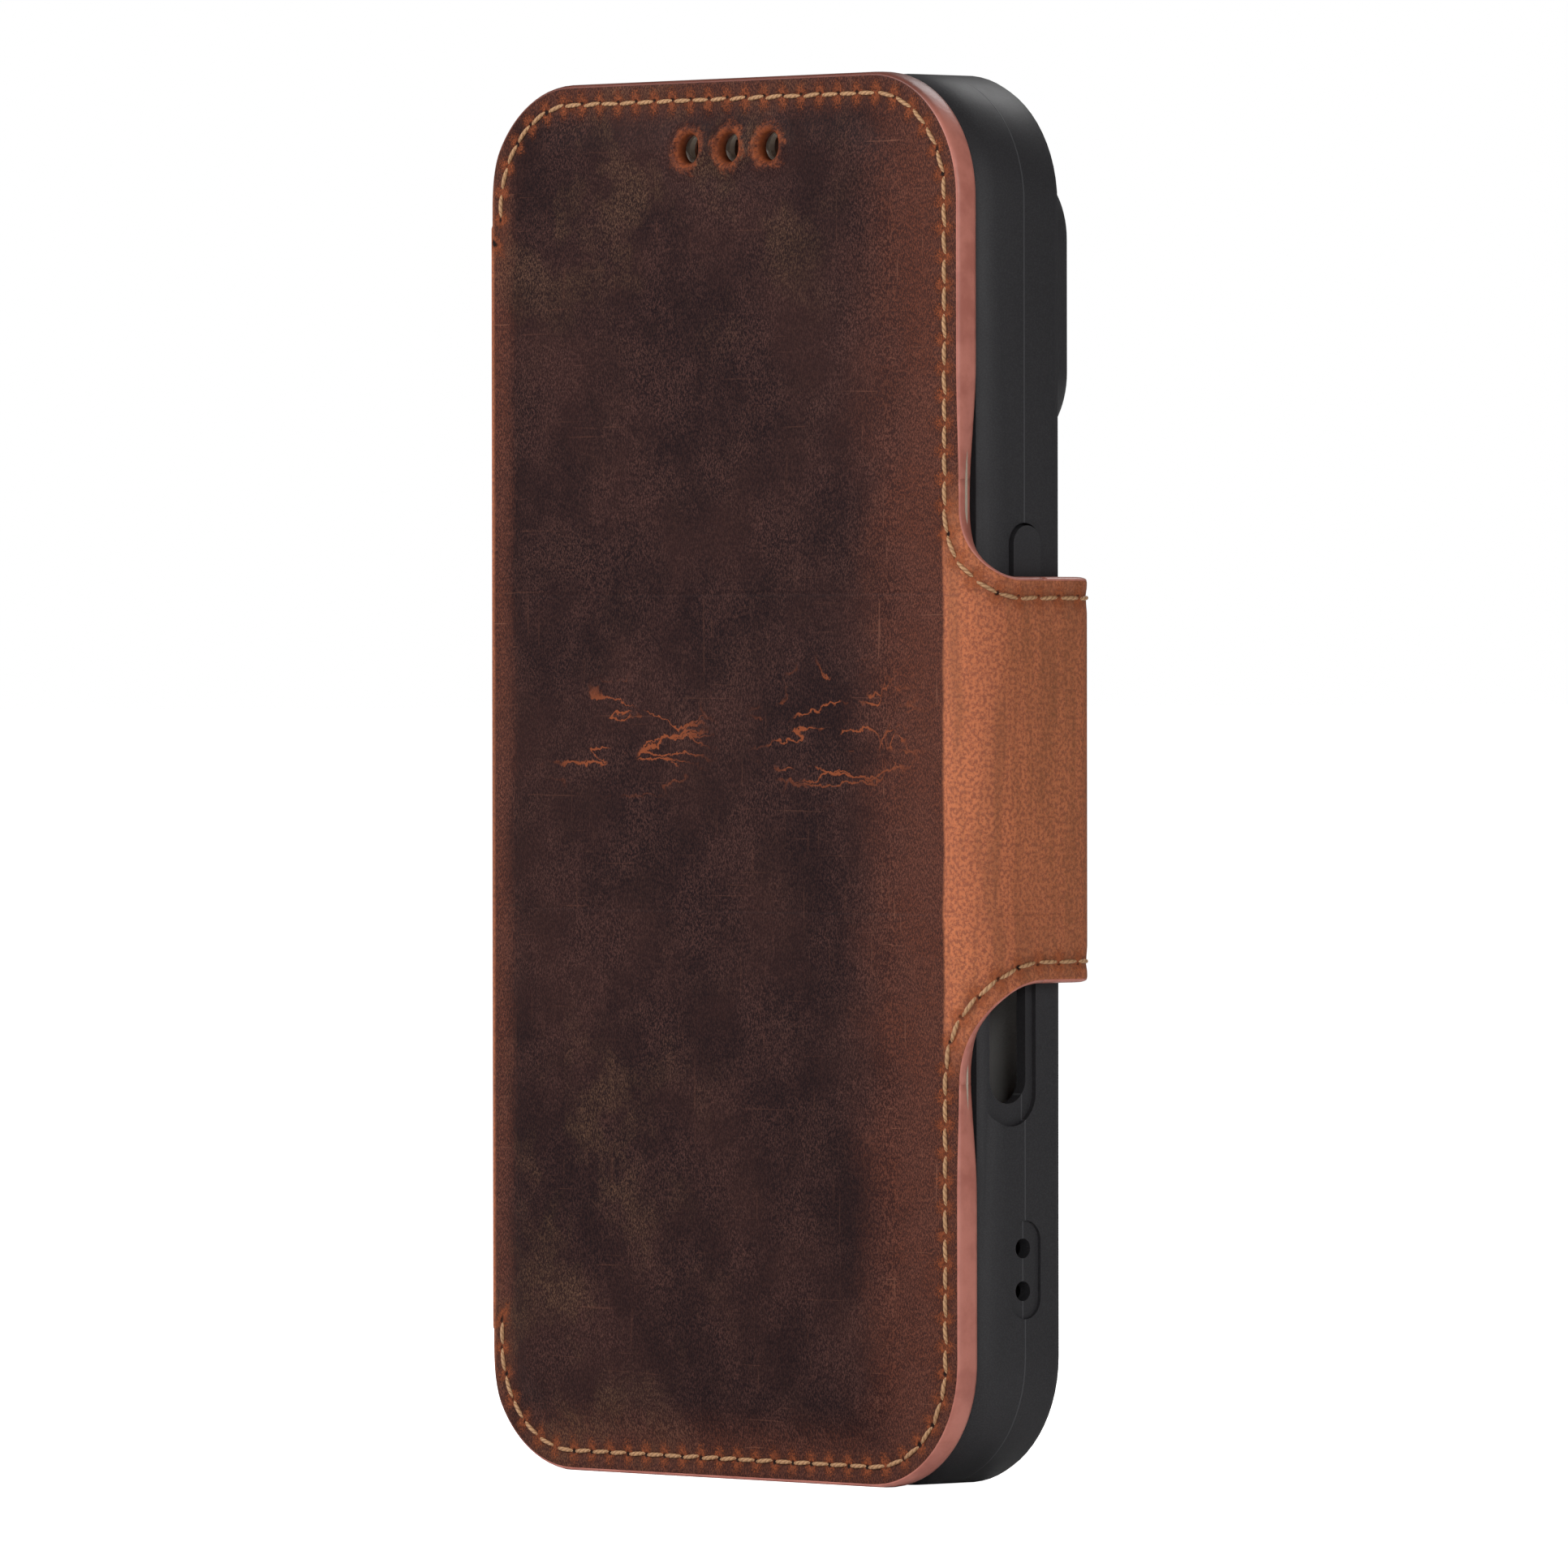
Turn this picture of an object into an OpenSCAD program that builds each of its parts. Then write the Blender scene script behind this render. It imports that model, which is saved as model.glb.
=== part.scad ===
// Leather folio wallet case for a phone, closed and standing on its short bottom edge.
// +Z is up, +X is to the right seen from the front, and the cover faces -Y.

/* [Shell] */
// Width of the moulded shell
shell_w = 76; // [70:0.5:84]
// Height of the moulded shell, and of the cover
shell_h = 156; // [146:0.5:170]
// Depth of the moulded shell without the camera rim
shell_d = 12; // [11.5:0.5:14]
// Radius of the shell's corners seen from the front
shell_r = 14.5; // [12:0.5:18]
// Thickness of the side walls
wall = 2; // [1.8:0.1:2.4]
// How far the front lip reaches in over the screen
lip_reach = 1.2; // [0.8:0.1:1.6]

/* [Cover] */
// Thickness of the cover at its edge
cover_t = 2.9; // [2.8:0.1:4]
// How far the padded panel stands in front of the edge
panel_rise = 0.8; // [0.4:0.1:1.2]
// How far the cover reaches past the shell on the spine side
cover_over = 2; // [1:0.5:3]
// Radius of the cover's corners
cover_r = 14; // [12:0.5:18]
// Gap between the closed cover and the shell's lip
cover_gap = 0.9; // [0.4:0.1:1.2]
// Thickness of the outer leather
leather_t = 1.2; // [1:0.1:1.6]

/* [Spine] */
// Length of the spine band along the left edge
spine_len = 125.4; // [100:0.2:128]
// Thickness of the spine with its lining
spine_t = 2.2; // [1.8:0.1:2.6]

/* [Strap] */
// Height of the strap where it crosses the side
strap_h = 44.5; // [36:0.5:56]
// Thickness of the strap with its lining
strap_t = 2.3; // [2:0.1:2.6]
// Radius of the fillets that join the strap to the cover's edge
strap_fillet = 7; // [5:0.5:9]
// How far the tab reaches across the back
tab_len = 21; // [14:1:30]

/* [Controls] */
// Height of the middle of the power button
power_z = 97.5; // [90:0.5:104]
// Gap round each key, which its flange clears as the key is pressed
key_gap = 0.3; // [0.2:0.05:0.4]
// Diameter of the two lanyard holes
lanyard_d = 2.2; // [1.8:0.1:2.8]
// Distance between the lanyard holes
lanyard_pitch = 4.7; // [4:0.1:6]

/* [Hidden] */
$fn = 64;
eps = 0.01;
cut = 1;

// Heights and depths from the front of the padded panel, which is at y = 0 before centring
mid_z = shell_h / 2;
edge_y = panel_rise;
leather_back = edge_y + leather_t;
board_t = 0.7;
board_back = leather_back + board_t;
cover_back = edge_y + cover_t;
shell_y = cover_back + cover_gap;
shell_back = shell_y + shell_d;
lip_t = 1.4;
lining_t = 0.4;
floor_t = 1.8;
floor_y = shell_back - floor_t;
screen_y = shell_y + lip_t;
back_skin = 0.9;
back_proud = 0.3;
skin_y = shell_back - back_skin;
side_x = shell_w / 2;
key_y = shell_y + 6.2;

// The shell's cavity
cavity_w = shell_w - 2 * wall;
cavity_h = shell_h - 4.4;
cavity_r = shell_r - wall;

// The cover's outline
cover_w = shell_w + cover_over;
cover_x = -cover_over / 2;

// Camera rim
rim_w = 73;
rim_h = 32.7;
rim_r = 9;
rim_z = 130.3;
rim_proud = 2.6;
window_w = 65;
window_h = 26;
window_r = 6;

// Spine band and hinge axes
spine_gap = 1.2;
spine_in = -side_x - spine_gap;
spine_out = spine_in - spine_t;
spine_bend = 3.4;
hinge_clear = 0.4;
spine_y0 = cover_back + hinge_clear;
spine_y1 = shell_back + back_proud - leather_t - hinge_clear;

// Strap
strap_gap = 0.6;
strap_in = side_x + strap_gap;
strap_out = strap_in + strap_t;
strap_bend = 5.4;
tab_in = shell_back + back_proud + 0.6;
tab_out = tab_in + strap_t;
tab_tip = strap_out - tab_len;
tongue_y = edge_y + strap_bend - 0.9;
strap_y0 = tongue_y + hinge_clear;
strap_y1 = tab_in - hinge_clear;
skin_share = 0.6;
strap_skin = strap_t * skin_share;

// Stitches
stitch_pitch = 3;
stitch_len = 2.2;
stitch_w = 0.55;
stitch_rise = 0.25;
stitch_in = 2;

// The model stands on its bottom edge with its box centred on the origin
x_low = spine_out;
x_high = strap_out;
y_high = max(tab_out, shell_back + rim_proud);
centre = [-(x_low + x_high) / 2, -y_high / 2, 0];

black = [0.17, 0.17, 0.18];
dark_leather = [0.24, 0.16, 0.15];
tan_leather = [0.69, 0.39, 0.25];
edge_paint = [0.65, 0.41, 0.36];
thread = [0.78, 0.63, 0.45];
suede = [0.62, 0.6, 0.58];
steel = [0.7, 0.7, 0.72];

// A flat outline in X and Z, given thickness from y0 to y1
module slab(y0, y1) {
  translate([0, y1, 0]) rotate([90, 0, 0]) linear_extrude(y1 - y0) children();
}

// An outline in X and Y, standing from z0 to z1
module column(z0, z1) {
  translate([0, 0, z0]) linear_extrude(z1 - z0) children();
}

// An outline in Y and Z, running from x0 to x1
module beam(x0, x1) {
  translate([x0, 0, 0]) rotate([90, 0, 90]) linear_extrude(x1 - x0) children();
}

// A rectangle with round corners about its middle
module round_rect(w, h, r) {
  square([w - 2 * r, h], center = true);
  square([w, h - 2 * r], center = true);
  for (x = [-1, 1], y = [-1, 1]) {
    translate([x * (w / 2 - r), y * (h / 2 - r)]) circle(r);
  }
}

// A pill along the second axis, of the given width and overall length
module pill(w, len) {
  square([w, len - w], center = true);
  for (side = [-1, 1]) translate([0, side * (len - w) / 2]) circle(w / 2);
}

// A block with round corners whose edge follows levels of [y, inset]
module stepped_block(w, h, r, levels) {
  last = len(levels) - 1;
  for (x = [-1, 1], z = [-1, 1]) {
    translate([x * (w / 2 - r), 0, z * (h / 2 - r)]) rotate([-90, 0, 0])
      rotate_extrude() polygon(concat(
        [[0, levels[0][0]]], [for (p = levels) [r - p[1], p[0]]], [[0, levels[last][0]]]
      ));
  }
  column(-h / 2 + r, h / 2 - r) polygon(concat(
    [for (p = levels) [w / 2 - p[1], p[0]]],
    [for (i = [last:-1:0]) [p_inset(w, levels[i]), levels[i][0]]]
  ));
  beam(-w / 2 + r, w / 2 - r) polygon(concat(
    [for (p = levels) [p[0], h / 2 - p[1]]],
    [for (i = [last:-1:0]) [levels[i][0], p_inset(h, levels[i])]]
  ));
}

// The far side of a level of a stepped block
function p_inset(size, level) = level[1] - size / 2;

// A point and a direction at length s round a rounded rectangle, from the middle of its top,
// clockwise, as [x, z, angle]
function round_path(s, w, h, r) =
  let (
    top = w / 2 - r, arc = PI * r / 2, side = h - 2 * r,
    a = top, b = a + arc, c = b + side, d = c + arc, e = d + 2 * top, f = e + arc, g = f + side, i = g + arc
  )
  s < a ? [s, h / 2, 0] :
  s < b ? arc_point(w / 2 - r, h / 2 - r, r, 90 - 90 * (s - a) / arc) :
  s < c ? [w / 2, h / 2 - r - (s - b), -90] :
  s < d ? arc_point(w / 2 - r, r - h / 2, r, -90 * (s - c) / arc) :
  s < e ? [w / 2 - r - (s - d), -h / 2, 180] :
  s < f ? arc_point(r - w / 2, r - h / 2, r, -90 - 90 * (s - e) / arc) :
  s < g ? [-w / 2, r - h / 2 + (s - f), 90] :
  s < i ? arc_point(r - w / 2, h / 2 - r, r, 180 - 90 * (s - g) / arc) :
  [r - w / 2 + (s - i), h / 2, 0];

function arc_point(x, z, r, angle) = [x + r * cos(angle), z + r * sin(angle), angle - 90];

function path_length(w, h, r) = 2 * (w - 2 * r) + 2 * (h - 2 * r) + 2 * PI * r;

// One stitch lying on a face at depth y, rising towards -Y
module stitch(p, y) {
  translate([p[0], y - stitch_rise / 2, p[1]]) rotate([0, -p[2], 0])
    cube([stitch_len, stitch_rise, stitch_w], center = true);
}

// The shell's outside: a chamfer at the front, a flat side and a small round at the back
module shell_body() {
  stepped_block(shell_w, shell_h, shell_r, [
    [shell_y, 1.2], [shell_y + 0.3, 0.9], [shell_y + 2.3, 0],
    [shell_back - 1.2, 0], [shell_back - 0.4, 0.35], [shell_back, 1.1]
  ]);
}

// A key: a pill that stands through the wall, on a flange that holds it in
key_w = 4.1;
key_proud = 0.45;
key_in = side_x - wall + 0.3;
flange_t = 0.5;
flange_reach = 0.7;
module side_key(len) {
  beam(key_in, side_x + key_proud) pill(key_w, len);
  beam(key_in, key_in + flange_t) pill(key_w + 2 * flange_reach, len + 2 * flange_reach);
}

// The hole that a key stands in, with room for its flange and its travel
module key_hole(len) {
  reach = flange_reach + key_gap;
  beam(side_x - wall - cut, side_x + cut) pill(key_w + 2 * key_gap, len + 2 * key_gap);
  beam(side_x - wall - cut, side_x - wall + 0.9) pill(key_w + 2 * reach, len + 2 * reach);
}

power_len = 17;
volume_len = 12;
action_len = 8;
volume_up_z = 112;
volume_down_z = 97;
action_z = 126;

module at_key(side, z) {
  mirror([side < 0 ? 1 : 0, 0, 0]) translate([0, key_y, z - mid_z]) children();
}

// The two holes of the lanyard loop in the right wall
lanyard_z = 24.1;
module lanyard_holes() {
  for (side = [-1, 1]) {
    translate([side_x - wall - cut, key_y, lanyard_z - mid_z + side * lanyard_pitch / 2])
      rotate([0, 90, 0]) cylinder(d = lanyard_d, h = wall + 2 * cut);
  }
}

slot_w = 5.4;
slot_len = 25;
slot_z = 54.9;
slot_y = shell_y + 4.1;
port_w = 14;
port_h = 6.4;
speaker_w = 12;
speaker_x = 17;
scoop_d = 0.6;

module shell() color(black) translate([0, 0, mid_z]) difference() {
  shell_body();
  slab(screen_y, floor_y) round_rect(cavity_w, cavity_h, cavity_r);
  slab(shell_y - cut, screen_y + eps)
    round_rect(cavity_w - 2 * lip_reach, cavity_h - 2 * lip_reach, cavity_r - lip_reach);
  slab(skin_y, shell_back + cut) round_rect(shell_w - 3, shell_h - 3, shell_r - 1.5);
  slab(skin_y, shell_back + cut) back_flap(0.3, side_x + cut);
  translate([0, 0, rim_z - mid_z]) slab(floor_y - cut, skin_y + cut) round_rect(window_w, window_h, window_r);
  slab(skin_y - 0.55, skin_y + cut) magnet_outline(0.1);
  slab(skin_y - 0.45, skin_y + cut) plate_outline(0.1);
  at_key(1, power_z) key_hole(power_len);
  at_key(-1, volume_up_z) key_hole(volume_len);
  at_key(-1, volume_down_z) key_hole(volume_len);
  at_key(-1, action_z) key_hole(action_len);
  translate([0, slot_y, slot_z - mid_z]) {
    beam(side_x - wall - cut, side_x + cut) pill(slot_w, slot_len);
    beam(side_x - scoop_d, side_x + cut) pill(slot_w + 2, slot_len + 5);
  }
  lanyard_holes();
  translate([0, key_y, lanyard_z - mid_z]) beam(side_x - 0.4, side_x + cut) pill(4.6, 10.9);
  translate([0, key_y, -mid_z - cut]) linear_extrude(4) rotate(90) pill(port_h, port_w);
  for (side = [-1, 1]) {
    translate([side * speaker_x, key_y, -mid_z - cut]) linear_extrude(4) rotate(90) pill(2.2, speaker_w);
  }
}

module shell_lining() color(suede) translate([0, 0, mid_z]) difference() {
  slab(floor_y - lining_t, floor_y) round_rect(cavity_w - 0.4, cavity_h - 0.4, cavity_r - 0.2);
  translate([0, 0, rim_z - mid_z]) slab(floor_y - cut, floor_y + cut)
    round_rect(window_w + 1, window_h + 1, window_r + 0.5);
}

module camera_rim() color(black) translate([0, 0, rim_z]) difference() {
  stepped_block(rim_w, rim_h, rim_r, [
    [skin_y, 0], [shell_back + rim_proud - 0.8, 0], [shell_back + rim_proud - 0.2, 0.3],
    [shell_back + rim_proud, 0.9]
  ]);
  slab(skin_y - cut, shell_back + rim_proud + cut) round_rect(window_w, window_h, window_r);
}

// The ring of charging magnets: short arcs with gaps between them
ring_out = 27.5;
ring_in = 23.5;
ring_z = 76;
ring_gap = 2;
ring_parts = 12;
module magnet_outline(slack) {
  translate([0, ring_z - mid_z]) difference() {
    circle(ring_out + slack);
    circle(ring_in - slack);
  }
}

module magnet_ring() color(steel) translate([0, 0, mid_z]) slab(skin_y - 0.5, skin_y) difference() {
  magnet_outline(0);
  translate([0, ring_z - mid_z]) for (i = [0:ring_parts / 2 - 1]) {
    rotate(i * 360 / ring_parts) square([2 * ring_out + cut, ring_gap], center = true);
  }
}

plate_w = 6;
plate_h = 36;
plate_x = 31.5;
module plate_outline(slack) {
  translate([plate_x, 0]) round_rect(plate_w + 2 * slack, plate_h + 2 * slack, 1);
}

module closure_plate() color(steel) translate([0, 0, mid_z]) slab(skin_y - 0.4, skin_y) plate_outline(0);

back_w = shell_w - 3.4;
back_h = shell_h - 3.4;
// The stretch of the back leather that runs out past the shell towards the spine
module back_flap(slack, reach) {
  translate([-reach, -spine_len / 2 - slack]) square([reach - back_w / 2 + shell_r, spine_len + 2 * slack]);
}

module back_leather() color(dark_leather) translate([0, 0, mid_z]) difference() {
  slab(skin_y, shell_back + back_proud) {
    round_rect(back_w, back_h, shell_r - 1.7);
    back_flap(0, -spine_out - 0.2);
  }
  translate([0, 0, rim_z - mid_z]) slab(skin_y - cut, shell_back + cut)
    round_rect(rim_w + 0.3, rim_h + 0.3, rim_r + 0.15);
}

// Stitches round the back, except where the camera rim crosses them
module back_stitching() color(thread) translate([0, 0, mid_z]) {
  w = back_w - 2 * stitch_in;
  h = back_h - 2 * stitch_in;
  r = shell_r - 1.7 - stitch_in;
  n = floor(path_length(w, h, r) / stitch_pitch);
  for (i = [0:n - 1]) {
    p = round_path(i * path_length(w, h, r) / n, w, h, r);
    if (abs(p[1] - (rim_z - mid_z)) > rim_h / 2 + 2) {
      stitch(p, shell_back + back_proud + stitch_rise);
    }
  }
}

module power_button() color(black) translate([0, 0, mid_z]) at_key(1, power_z) side_key(power_len);
module volume_up_button() color(black) translate([0, 0, mid_z]) at_key(-1, volume_up_z) side_key(volume_len);
module volume_down_button() color(black) translate([0, 0, mid_z])
  at_key(-1, volume_down_z) side_key(volume_len);
module action_button() color(black) translate([0, 0, mid_z]) at_key(-1, action_z) side_key(action_len);

// A flat band along the left or right side, from x0 to x1 and y0 to y1
module side_band(x0, x1, y0, y1, len) {
  column(mid_z - len / 2, mid_z + len / 2) translate([x0, y0]) square([x1 - x0, y1 - y0]);
}

spine_skin = spine_t * skin_share;
module spine_leather() color(tan_leather)
  side_band(spine_out, spine_out + spine_skin, spine_y0, spine_y1, spine_len);

module spine_lining() color(suede)
  side_band(spine_out + spine_skin, spine_in, spine_y0, spine_y1, spine_len);

// The cover's outline, and the same outline drawn in by an inset
module cover_outline(inset) {
  translate([cover_x, 0]) round_rect(cover_w - 2 * inset, shell_h - 2 * inset, cover_r - inset);
}

// The three round holes over the earpiece
ear_d = 3.2;
ear_pitch = 6.6;
ear_x = 1.2;
ear_z = 148.3;
module ear_holes(d) {
  for (i = [-1:1]) translate([ear_x + i * ear_pitch, ear_z - mid_z]) circle(d = d);
}

strap_root_h = strap_h + 2 * strap_fillet;
panel_in = 5;

module cover_leather() color(dark_leather) translate([0, 0, mid_z]) difference() {
  union() {
    slab(edge_y, leather_back) cover_outline(edge_t);
    translate([cover_x, 0, 0]) stepped_block(
      cover_w - 2 * panel_in, shell_h - 2 * panel_in, cover_r - panel_in,
      [[0, 1.6], [0.2, 0.7], [edge_y, 0], [leather_back - 0.4, 0]]
    );
    strap_tongue();
    spine_tongue();
  }
  translate([cover_x, 0, 0]) slab(leather_back - 0.7, leather_back + cut) padding_outline(0);
  slab(-cut, cover_back + cut) ear_holes(ear_d);
}

// The bend that carries the leather from the cover's face to the strap, hollowed above and below
module strap_tongue() {
  difference() {
    column(-strap_root_h / 2, strap_root_h / 2) difference() {
      intersection() {
        translate([strap_out - strap_bend, edge_y + strap_bend]) circle(strap_bend);
        translate([strap_out - strap_bend, edge_y]) square([strap_bend, tongue_y - edge_y]);
      }
      translate([strap_out - strap_bend, edge_y + strap_bend]) circle(strap_bend - strap_t);
      translate([strap_out - strap_bend - cut, leather_back])
        square([side_x - edge_t - strap_out + strap_bend + cut, cover_t]);
    }
    for (side = [-1, 1]) {
      translate([0, edge_y + strap_fillet, side * strap_root_h / 2])
        beam(side_x, side_x + strap_bend) circle(strap_fillet);
    }
  }
}

// The bend that carries the leather from the cover's face towards the spine
module spine_tongue() {
  column(-spine_len / 2, spine_len / 2) difference() {
    intersection() {
      translate([spine_out + spine_bend, edge_y + spine_bend]) circle(spine_bend);
      translate([spine_out, edge_y]) square([spine_bend, cover_t]);
    }
    translate([spine_out + spine_bend, edge_y + spine_bend]) circle(spine_bend - leather_t);
    translate([-side_x - cover_over + edge_t, leather_back]) square(spine_bend);
  }
}

edge_t = 0.5;
module padding_outline(slack) {
  inset = panel_in + 1.2 + slack;
  round_rect(cover_w - 2 * inset, shell_h - 2 * inset, cover_r - inset);
}

module cover_padding() color(suede) translate([0, 0, mid_z]) difference() {
  translate([cover_x, 0, 0]) slab(leather_back - 0.7, leather_back) padding_outline(0);
  slab(-cut, cover_back + cut) ear_holes(ear_d + 0.6);
}

module cover_board() color(suede) translate([0, 0, mid_z]) difference() {
  slab(leather_back, board_back) cover_outline(edge_t);
  slab(-cut, cover_back + cut) ear_holes(ear_d);
}

module cover_lining() color(tan_leather) translate([0, 0, mid_z]) difference() {
  slab(board_back, cover_back) cover_outline(edge_t);
  slab(-cut, cover_back + cut) ear_holes(ear_d);
}

// The painted edge, open where the strap and the spine leave the cover
module cover_edge() color(edge_paint) translate([0, 0, mid_z]) difference() {
  slab(edge_y + 0.15, cover_back) difference() {
    cover_outline(0);
    cover_outline(edge_t);
  }
  translate([side_x - cut, -cut, -strap_root_h / 2]) cube([2 * cut, 3 * cover_t, strap_root_h]);
  translate([-side_x - cover_over - cut, -cut, -spine_len / 2]) cube([2 * cut, 3 * cover_t, spine_len]);
}

// Stitches round the cover's face, with the strap's and the spine's stretches left out
module cover_stitching() color(thread) translate([cover_x, 0, mid_z]) {
  w = cover_w - 2 * stitch_in - 1;
  h = shell_h - 2 * stitch_in - 1;
  r = cover_r - stitch_in;
  n = floor(path_length(w, h, r) / stitch_pitch);
  for (i = [0:n - 1]) {
    p = round_path(i * path_length(w, h, r) / n, w, h, r);
    if (!(p[2] == 90) && !(p[2] == -90 && abs(p[1]) < strap_root_h / 2)) stitch(p, edge_y);
  }
}

// Card pockets: each reaches less far than the one behind it, so the cards fan out
pocket_t = 0.4;
pocket_left = -33;
pocket_step = 11;
pocket_h = 96;
module pocket(layer, x1, h) {
  y = cover_back + layer * pocket_t;
  translate([(pocket_left + x1) / 2, 0, mid_z - 8]) slab(y, y + pocket_t) round_rect(x1 - pocket_left, h, 2);
}

module note_pocket() color(tan_leather) pocket(0, 33, 132);
module card_pocket_3() color(dark_leather) pocket(1, 25, pocket_h);
module card_pocket_2() color(dark_leather) pocket(2, 25 - pocket_step, pocket_h);
module card_pocket_1() color(dark_leather) pocket(3, 25 - 2 * pocket_step, pocket_h);

module strap_side_leather() color(tan_leather)
  side_band(strap_out - strap_skin, strap_out, strap_y0, strap_y1, strap_h);

module strap_side_lining() color(suede)
  side_band(strap_in, strap_out - strap_skin, strap_y0, strap_y1, strap_h);

// Stitches along the top and bottom edges of the strap's side
strap_z0 = mid_z - strap_h / 2;
strap_z1 = mid_z + strap_h / 2;
module strap_side_stitching() color(thread) {
  for (z = [strap_z0 + stitch_in, strap_z1 - stitch_in], y = [strap_y0 + 1.4:stitch_pitch:strap_y1 - 1]) {
    translate([strap_out + stitch_rise / 2, y, z]) cube([stitch_rise, stitch_len, stitch_w], center = true);
  }
}

// The tab's outline seen from behind: its free end has two round corners
tab_r = 8;
module tab_outline() {
  translate([(tab_tip + tab_r + strap_out) / 2, 0])
    square([strap_out - tab_tip - tab_r, strap_h], center = true);
  translate([tab_tip + 2 * tab_r, 0]) square([4 * tab_r, strap_h - 2 * tab_r], center = true);
  for (side = [-1, 1]) translate([tab_tip + tab_r, side * (strap_h / 2 - tab_r)]) circle(tab_r);
}

// Takes the sharp outer corner off the tab where it meets the strap's side
tab_round = 2;
module tab_layer(t0, t1) {
  difference() {
    translate([0, 0, mid_z]) slab(tab_out - t1, tab_out - t0) intersection() {
      tab_outline();
      translate([tab_tip - cut, -strap_h]) square([tab_len + cut, 2 * strap_h]);
    }
    column(mid_z - strap_h, mid_z + strap_h)
      translate([strap_out - tab_round, tab_out - tab_round]) difference() {
        square(tab_round + cut);
        circle(tab_round);
      }
  }
}

module strap_tab_leather() color(tan_leather)
  tab_layer(0, strap_skin);

module strap_tab_lining() color(suede) difference() {
  tab_layer(strap_skin, strap_t);
  magnet_bars(0.05);
}

// Stitches round the tab's free end
tab_corner = 4;
module strap_tab_stitching() color(thread) {
  r = 6;
  w = 2 * (tab_len - tab_corner - stitch_in);
  h = strap_h - 2 * stitch_in;
  x_mid = strap_out - tab_corner;
  total = path_length(w, h, r);
  n = floor(total / stitch_pitch);
  for (i = [0:n - 1]) {
    p = round_path(i * total / n, w, h, r);
    if (p[0] < -1.5) translate([x_mid, 0, mid_z]) stitch(p, tab_out + stitch_rise);
  }
}

// Two bar magnets between the tab's leather and its lining
bar_w = 5;
bar_h = 14;
bar_t = 0.6;
bar_apart = 18;
module magnet_bars(slack) {
  bar_y = tab_out - strap_skin;
  for (side = [-1, 1]) {
    translate([plate_x - slack, 0, mid_z + side * bar_apart / 2])
      slab(bar_y - bar_t - slack, bar_y) round_rect(bar_w + 2 * slack, bar_h + 2 * slack, 1);
  }
}

module strap_magnets() color(steel) magnet_bars(0);

// Moves a piece so that the whole model's box is centred over the origin
module placed() {
  translate(centre) children();
}

placed() shell();
placed() shell_lining();
placed() camera_rim();
placed() magnet_ring();
placed() back_leather();
placed() back_stitching();
placed() closure_plate();
placed() power_button();
placed() volume_up_button();
placed() volume_down_button();
placed() action_button();
placed() spine_leather();
placed() spine_lining();
placed() cover_leather();
placed() cover_padding();
placed() cover_board();
placed() cover_edge();
placed() cover_lining();
placed() cover_stitching();
placed() card_pocket_1();
placed() card_pocket_2();
placed() card_pocket_3();
placed() note_pocket();
placed() strap_side_leather();
placed() strap_side_lining();
placed() strap_side_stitching();
placed() strap_tab_leather();
placed() strap_tab_lining();
placed() strap_tab_stitching();
placed() strap_magnets();
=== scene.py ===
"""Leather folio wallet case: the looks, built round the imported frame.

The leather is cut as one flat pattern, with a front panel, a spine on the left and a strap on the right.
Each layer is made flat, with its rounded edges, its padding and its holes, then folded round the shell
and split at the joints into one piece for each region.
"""

import logging
import math
import random
from collections.abc import Callable
from dataclasses import dataclass, field
from enum import Enum

import bmesh
import bpy
import numpy as np
from bmesh.types import BMEdge, BMesh, BMVert
from bpy.types import Material, Node, NodeSocket, NodeTree, Object
from mathutils import Matrix, Vector
from mathutils.kdtree import KDTree


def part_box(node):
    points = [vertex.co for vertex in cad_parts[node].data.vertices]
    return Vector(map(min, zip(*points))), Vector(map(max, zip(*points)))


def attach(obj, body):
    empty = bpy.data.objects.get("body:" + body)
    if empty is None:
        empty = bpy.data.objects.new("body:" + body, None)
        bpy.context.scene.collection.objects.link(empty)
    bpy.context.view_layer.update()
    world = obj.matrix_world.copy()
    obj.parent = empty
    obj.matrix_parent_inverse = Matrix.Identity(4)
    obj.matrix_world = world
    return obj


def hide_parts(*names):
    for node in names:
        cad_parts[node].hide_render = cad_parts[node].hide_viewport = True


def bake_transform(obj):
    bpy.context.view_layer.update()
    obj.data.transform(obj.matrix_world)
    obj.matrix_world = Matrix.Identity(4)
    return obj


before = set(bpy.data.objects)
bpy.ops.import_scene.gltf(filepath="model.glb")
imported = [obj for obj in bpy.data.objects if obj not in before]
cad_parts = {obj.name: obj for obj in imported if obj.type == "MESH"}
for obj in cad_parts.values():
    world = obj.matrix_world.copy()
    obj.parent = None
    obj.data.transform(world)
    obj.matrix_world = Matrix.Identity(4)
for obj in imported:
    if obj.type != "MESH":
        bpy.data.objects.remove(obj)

MM = 0.001
Array = np.ndarray
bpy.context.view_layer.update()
log = logging.getLogger("wallet_case")


class Body(str, Enum):
    """The CAD bodies that pieces ride on."""

    SHELL = "shell"
    SPINE = "spine"
    COVER = "cover"
    STRAP_SIDE = "strap_side"
    STRAP_TAB = "strap_tab"


class Region(str, Enum):
    """The parts of the flat pattern, each cut into its own pieces."""

    PANEL = "panel"
    STRAP_FRONT = "strap_front"
    STRAP_BACK = "strap_back"
    SPINE_FRONT = "spine_front"
    SPINE_BACK = "spine_back"


class Slot(str, Enum):
    """Material slot names."""

    SHELL = "black_shell"
    LINING = "microfibre"
    FOAM = "foam"
    DARK = "dark_leather"
    TAN = "tan_leather"
    PAINT = "edge_paint"
    THREAD = "thread"


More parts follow.
